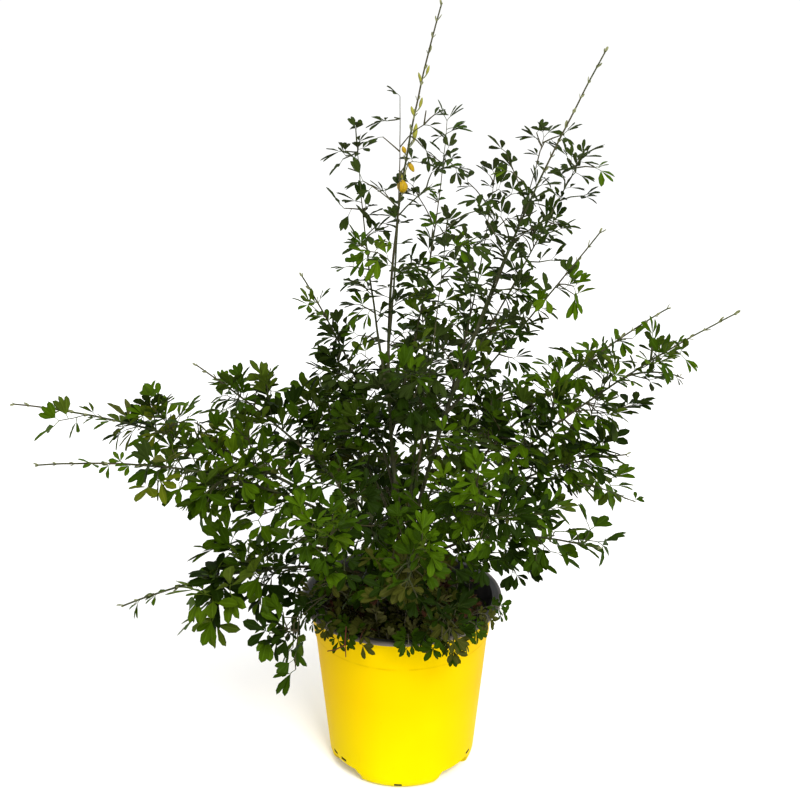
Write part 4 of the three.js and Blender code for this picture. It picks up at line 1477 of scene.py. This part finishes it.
# The way a leaf looks: up and outwards, a little off it, and flatter towards the crown's top
def facing(spot, draw):
    outward = unit(np.array((spot[0], spot[1] - 1, 0)))
    tilt = mixed(foliage["lowTilt"], foliage["highTilt"], heightShare(spot[2]))
    loose = mixed(*zones["loose"], heightShare(spot[2]))
    return unit(outward * tilt + up) + np.array((draw() - 0.5, draw() - 0.5, 0.3 * draw())) * loose


# Thin pale shoots, sprouts and sprigs with small leaves in the pot's mouth and over its rim
mouth = {
    "shoots": 34,
    "turns": (-215, 35),  # degrees from +X
    "long": (34, 72),
    "rise": (0.15, 0.9),
    "thick": 0.5,
    "leafSize": (0.42, 0.72),
    "leaves": 6,
    "sprouts": 80,
    "sproutX": (-84, 80),
    "sproutY": (-84, -4),
    "sproutHeight": (9, 50),
    "sproutLeaves": 8,
    "overs": (-64, -58, -51, -43, -33, -26, -19, 4, 15, 39, 50, 62),  # degrees from -Y
    "overDrop": (0, 8),
    "sproutReach": 80,
    "sproutSplay": (70, 40),  # degrees, at its foot and its tip
    "overRed": 0.3,
    "overDark": 0.65,
    "redTwigs": [
        ((-52, -98, 200), (-53, -104.5, 186), (-52.5, -104.5, 171)),
        ((-53, -104.5, 184), (-62, -103, 178), (-70, -99, 174)),
    ],
    # The Sage leaves here are partly painted light
    "tones": (("Dry", 0.16), ("Sage", 0.3), ("Olive", 0.3), ("Dark", 1)),
}


def mouthTone(draw):
    pick = draw()
    for name, share in mouth["tones"]:
        pick -= share
        if pick <= 0:
            return name


# Small upright sprouts with leaves in whorls
def growSprouts(shrub, draw):
    for _ in range(mouth["sprouts"]):
        x = mixed(*mouth["sproutX"], draw())
        y = mixed(*mouth["sproutY"], draw())
        tall = mixed(*mouth["sproutHeight"], draw())
        way = unit(np.array((draw() - 0.5, draw() - 0.7, 2)))
        tone = mouthTone(draw)
        if math.hypot(x, y) > mouth["sproutReach"]:
            continue
        foot = np.array((x, y, soilTop(x, y)))
        addTube(shrub.paleTwigs, [foot, foot + way * tall * 0.5, foot + way * tall], [0.5, 0.45, 0.35], 4)
        for k in range(mouth["sproutLeaves"]):
            s = 0.3 + 0.7 * k / (mouth["sproutLeaves"] - 1)
            turn = twig["turn"] * k + 60 * draw()
            aside = splayedFrom(way, np.array((1.0, 0, 0)), turn, mixed(*mouth["sproutSplay"], s))
            face = up + np.array((draw() - 0.5, -0.6 * draw(), 0))
            shrub.addLeaf(foot + way * tall * s, aside, face, mixed(*mouth["leafSize"], draw()), tone, True)


# Thin sprigs that grow up from the mouth and hang over the front of the rim
def growOvers(shrub, draw):
    for degrees in mouth["overs"]:
        flat = levelAt(math.radians(degrees - 90 + 4 * draw() - 2))
        drop = mixed(*mouth["overDrop"], draw())
        start = flat * (60 + 12 * draw()) + up * 170
        over = flat * 106 + up * (203 + 4 * draw())
        end = flat * (107 + 3 * draw()) + up * (190 - drop)
        line = [start * (1 - s) ** 2 + over * 2 * s * (1 - s) + end * s * s for s in np.linspace(0, 1, 9)]
        addTube(shrub.paleTwigs, line, [0.55] * 5 + [0.45] * 4, 4, 1 if draw() < mouth["overRed"] else 0)
        tone = "Dark" if draw() < mouth["overDark"] else "Olive"
        across = cross(flat, up)
        for k, spot in enumerate(line[3:]):
            for side in (-1, 1) if k % 2 or k > 3 else (1,):
                way = across * side * (0.7 + 0.6 * draw()) + flat * 0.5
                way = way + up * (0.4 - 0.25 * k + 0.3 * draw())
                face = flat + up * (1.2 - 0.2 * k) + across * 0.4 * (draw() - 0.5)
                shrub.addLeaf(spot, way, face, mixed(*mouth["leafSize"], draw()), tone, True)
    for points in mouth["redTwigs"]:
        addTube(shrub.paleTwigs, np.array(points, float), [0.7, 0.65, 0.5], 5, 1)


# Low shoots from the trunk's foot over the compost, and all else in the mouth
def growMouth(shrub):
    draw = draws(seeds["mouth"])
    for i in range(mouth["shoots"]):
        flat = levelAt(math.radians(mixed(*mouth["turns"], (i + draw()) / mouth["shoots"])))
        foot = trunkAt(0.04 + 0.3 * draw()) + flat * 6
        long = mixed(*mouth["long"], draw())
        rise = mixed(*mouth["rise"], draw())
        sag = 0.3 + 0.3 * draw()

        def at(s):
            spot = foot + (flat + up * (rise - sag * s)) * long * s + wobble(foot + flat * 40 * s, 4) * s
            spot[2] = max(spot[2], soilTop(spot[0], spot[1]) + 1.6)
            return spot

        radii = [mouth["thick"]] * 6 + [0.42, 0.32]
        addTube(shrub.paleTwigs, [at(s) for s in np.linspace(0, 1, 8)], radii, 4)
        for k in range(mouth["leaves"]):
            s = (k + 0.3 + 0.7 * draw()) / mouth["leaves"]
            side = 1 if k % 2 else -1
            way = unit(flat + cross(flat, up) * side * (0.5 + 0.8 * draw()) + up * (draw() - 0.1))
            face = up + np.array((draw() - 0.5, draw() - 0.8, 0)) * 0.9
            shrub.addLeaf(at(min(1, s)), way, face, mixed(*mouth["leafSize"], draw()), mouthTone(draw), True)
    growSprouts(shrub, draw)
    growOvers(shrub, draw)


# Dry leaflets that lie on the compost
def scatterLitter(shrub):
    draw = draws(seeds["litter"])
    upper, lower = leafletFaces()
    for _ in range(soil["litter"]):
        x, y = scattered(soil["litterRing"], draw)
        long = ranged(soil["litterLong"], draw)
        points, marks = leafletPoints(long, long * soil["litterWidth"], 1.2 * draw(), 2 * draw())
        turn = math.tau * draw()
        c = math.cos(turn)
        s = math.sin(turn)
        across = points[:, 0] * c - points[:, 1] * s
        spun = np.stack((across, points[:, 0] * s + points[:, 1] * c, points[:, 2]), 1)
        spun += np.array((x, y, soilTop(x, y) + 1.3 + draw()))
        if (np.hypot(spun[:, 0], spun[:, 1]) < soil["litterReach"]).all():
            heap = shrub.leaves.setdefault("DryRight", Heap())
            heap.add(spun, np.array(upper + lower), 0, marks)


# A drawn place on the compost, in a ring given by its inner radius and its width
def scattered(ring, draw):
    angle = math.tau * draw()
    radius = ring[0] + ring[1] * math.sqrt(draw())
    return radius * math.cos(angle), radius * math.sin(angle)


# Small lumps of compost that lie on it
def scatterCrumbs():
    draw = draws(seeds["crumbs"])
    bm = bmesh.new()
    bmesh.ops.create_icosphere(bm, subdivisions=1, radius=1)
    ball = np.array([vert.co for vert in bm.verts])
    faces = np.array([[vert.index for vert in face.verts] for face in bm.faces])
    bm.free()
    heap = Heap()
    for _ in range(soil["crumbs"]):
        x, y = scattered(soil["crumbRing"], draw)
        size = mixed(*soil["crumbSize"], draw() ** 2.5) / 2
        lumpy = ball * np.array([1 + 0.5 * (draw() - 0.5) for _ in range(len(ball))])[:, None]
        stretch = np.array((1 + 0.6 * draw(), 1, 0.7 + 0.3 * draw()))
        heap.add(lumpy * stretch * size + np.array((x, y, soilTop(x, y) + size * 0.4)), faces)
    piece = heap.piece("soilCrumbs", [compostFinish("looseCompost")])
    settle(piece)


bendLength = 23  # of the small bends in limbs and twigs


def wobble(spot, size):
    return np.array(noise.noise_vector(Vector(spot) / bendLength)) * size


# What leaves keep clear of: the pot by this much, and inside it all that lies beyond this radius
potRoom = {"clear": 3, "inside": 84}


# Whether a spot lies in the pot's wall or under the floor, or less than a height above the compost
def inPotWall(point, above):
    radius = math.hypot(point[0], point[1])
    if point[2] > pot["height"] + potRoom["clear"] or radius > pot["lipRadius"] + potRoom["clear"]:
        return point[2] < potRoom["clear"]
    return radius > potRoom["inside"] or point[2] < soil["edge"] + above


# Outline of one of the source's large leaves, from its root round its three leaflets
def massLeafPoints(node, along, face, scale):
    length = massLeaf["length"] * scale
    width = massLeaf["width"] * scale
    across = unit(cross(face, along))
    points = [(-massLeaf["root"], 0, 0)]
    for i, k in enumerate((-1, 0, 1)):
        turn = math.radians(k * massLeaf["fan"])
        if i > 0:
            between = math.radians((k - 0.5) * massLeaf["fan"])
            points.append((massLeaf["notch"] * math.cos(between), massLeaf["notch"] * math.sin(between), 0))
        for u, v, w in (
            (length * massLeaf["widest"], -width / 2, massLeaf["fold"]),
            (length, 0, -massLeaf["droop"]),
            (length * massLeaf["widest"], width / 2, massLeaf["fold"]),
        ):
            x = massLeaf["notch"] / 2 + u * math.cos(turn) - v * math.sin(turn)
            y = u * math.sin(turn) + v * math.cos(turn)
            points.append((x, y, w))
    return [node + along * x + across * y + face * z for x, y, z in points]


# Trunk and boughs with the bark's relief
bark = {
    "trunkSides": 28,
    "trunkRing": 2.5,
    "furrow": 0.75,
    "boughFurrow": 0.16,
    "trunkReach": (13, 4),  # how far round the trunk and above it the deep furrows go
    "stretch": 0.22,
    "ridge": 2.6,
    "patch": 5,
    "brown": (0.026, 0.023, 0.011, 1),
    "grey": (0.052, 0.054, 0.028, 1),
    "green": (0.028, 0.038, 0.010, 1),
}


# The place, turn and size of one ring of a limb
def ringAt(middle, along, side, radius):
    other = cross(along, side)
    axes = [tuple(axis * radius * mm) for axis in (side, other, along)]
    place = Matrix(axes).transposed().to_4x4()
    place.translation = Vector(middle * mm)
    return place


# A limb: a circle that is extruded from ring to ring and closed at both ends
def growLimb(bm, rings, sides):
    made = bmesh.ops.create_circle(bm, segments=sides, radius=1, matrix=rings[0])
    verts = made["verts"]
    edges = list(dict.fromkeys(edge for vert in verts for edge in vert.link_edges))
    ends = list(edges)
    for before, after in zip(rings, rings[1:]):
        grown = bmesh.ops.extrude_edge_only(bm, edges=edges)["geom"]
        verts = [g for g in grown if isinstance(g, bmesh.types.BMVert)]
        fresh = set(verts)
        edges = [g for g in grown if isinstance(g, bmesh.types.BMEdge) and set(g.verts) <= fresh]
        bmesh.ops.transform(bm, matrix=after @ before.inverted(), verts=verts)
    bmesh.ops.holes_fill(bm, edges=ends + edges, sides=0)


def makeBark(shrub):
    bm = bmesh.new()
    steps = int(trunk["height"] / bark["trunkRing"])
    side = np.array((0, 1.0, 0))
    lean = unit(trunkAt(1) - trunkAt(0))
    places = [-0.06] + [i / steps for i in range(steps + 1)] + [1.04, 1.07]
    sizes = [trunkRadius(max(0, s)) * (1 if s <= 1 else (1.09 - s) * 11) for s in places]
    growLimb(bm, [ringAt(trunkAt(s), lean, side, r) for s, r in zip(places, sizes)], bark["trunkSides"])
    for shoot in shrub.shoots.values():
        count = max(4, int(shoot.length * shoot.share / bough["ring"]))
        places = [shoot.share * i / count for i in range(count + 1)]
        rings = []
        for t in places:
            middle = shoot.at(t) + wobble(shoot.at(t), growth["stemBend"])
            rings.append(ringAt(middle, shoot.along(max(t, 0.003)), shoot.side, shoot.slim(t)))
        growLimb(bm, rings, bough["sides"])
    smoothOut(bm)
    bm.normal_update()
    axis = Vector(lean)
    foot = Vector(trunkAt(0))
    for vert in bm.verts:
        spot = vert.co / mm
        off = spot - foot
        reach, over = bark["trunkReach"]
        onTrunk = (off - axis * off.dot(axis)).length < reach and off.z < trunk["height"] + over
        squeezed = Vector((spot.x, spot.y, spot.z * bark["stretch"]))
        ridge = abs(noise.noise(squeezed / bark["ridge"])) * 1.5 - 0.5
        ridge += 0.5 * noise.noise(spot / bark["patch"])
        vert.co += vert.normal * ridge * bark["furrow" if onTrunk else "boughFurrow"] * mm
    piece = newPiece("barkLimbs", bm)
    piece.data.materials.append(barkFinish())
    settle(piece, ["trunk"] + [f"bough_{name}" for name in shrub.shoots])


def barkFinish():
    finish = Finish("greyGreenBark", Roughness=0.85, Specular_IOR_Level=0.1)
    streaks = finish.grain(240, 5, (1, 1, 0.2))
    patches = finish.grain(40, 3)
    base = finish.blend(streaks.rising(0.35, 0.65), bark["brown"], bark["grey"])
    finish.paint(finish.blend(patches.rising(0.4, 0.62) * 0.7, base, bark["green"]))
    finish.relief(streaks + finish.grain(900, 3) * 0.4, 0.5, 0.7)
    return finish.material


def twigFinish(name):
    dark, light, patch = twigColours[name]
    finish = Finish(name, Roughness=0.7, Specular_IOR_Level=0.1)
    streaks = finish.grain(300, 3, (1, 1, 0.3)).rising(0.35, 0.7)
    patches = finish.grain(25, 2).rising(0.42, 0.6)
    finish.paint(finish.blend(patches, finish.blend(streaks, dark, light), patch))
    finish.relief(streaks, 0.2, 0.5)
    return finish.material


# The three kinds of twigs: dark and light streaks, and the patches on them
twigColours = {
    "paleTwig": ((0.055, 0.045, 0.026, 1), (0.16, 0.16, 0.11, 1), (0.12, 0.11, 0.07, 1)),
    "redTwig": ((0.06, 0.012, 0.008, 1), (0.10, 0.03, 0.015, 1), (0.05, 0.02, 0.01, 1)),
    "greenTwig": ((0.022, 0.028, 0.008, 1), (0.046, 0.054, 0.020, 1), (0.044, 0.038, 0.018, 1)),
}


def budFinish():
    finish = Finish("greenBud", Roughness=0.6, Specular_IOR_Level=0.15)
    tint = finish.grain(200, 2).rising(0.4, 0.65)
    finish.paint(finish.blend(tint, (0.11, 0.12, 0.05, 1), (0.19, 0.20, 0.10, 1)))
    return finish.material


def makeShrub():
    shrub = Shrub()
    for index, shoot in enumerate(shrub.shoots.values()):
        shrub.dress(shoot, index)
    growMouth(shrub)
    scatterLitter(shrub)
    makeBark(shrub)
    addBlossoms(shrub)
    settle(shrub.paleTwigs.piece("paleTwigs", [twigFinish("paleTwig"), twigFinish("redTwig")]))
    piece = shrub.twigs.piece("fineTwigs", [twigFinish("greenTwig")])
    settle(piece, [f"foliage_{name}" for name in shrub.shoots])
    settle(shrub.buds.piece("spikeBuds", [budFinish()]))
    finishes = {}
    for name, (upper, under, _, _) in tones.items():
        top = leafFinish(f"leaf{name}", upper, 0.42)
        finishes[name] = [top, leafFinish(f"leaf{name}Under", under, 0.55)]
    for key, heap in sorted(shrub.leaves.items()):
        name = key.replace("Left", "").replace("Right", "")
        settle(heap.piece(f"leaves{key}", finishes[name]))
    print(f"{shrub.leafCount} leaves")


setStage()
print("stage set")
makePot()
makeCompost()
scatterCrumbs()
print("pot and compost made")
makeShrub()
print("shrub grown")
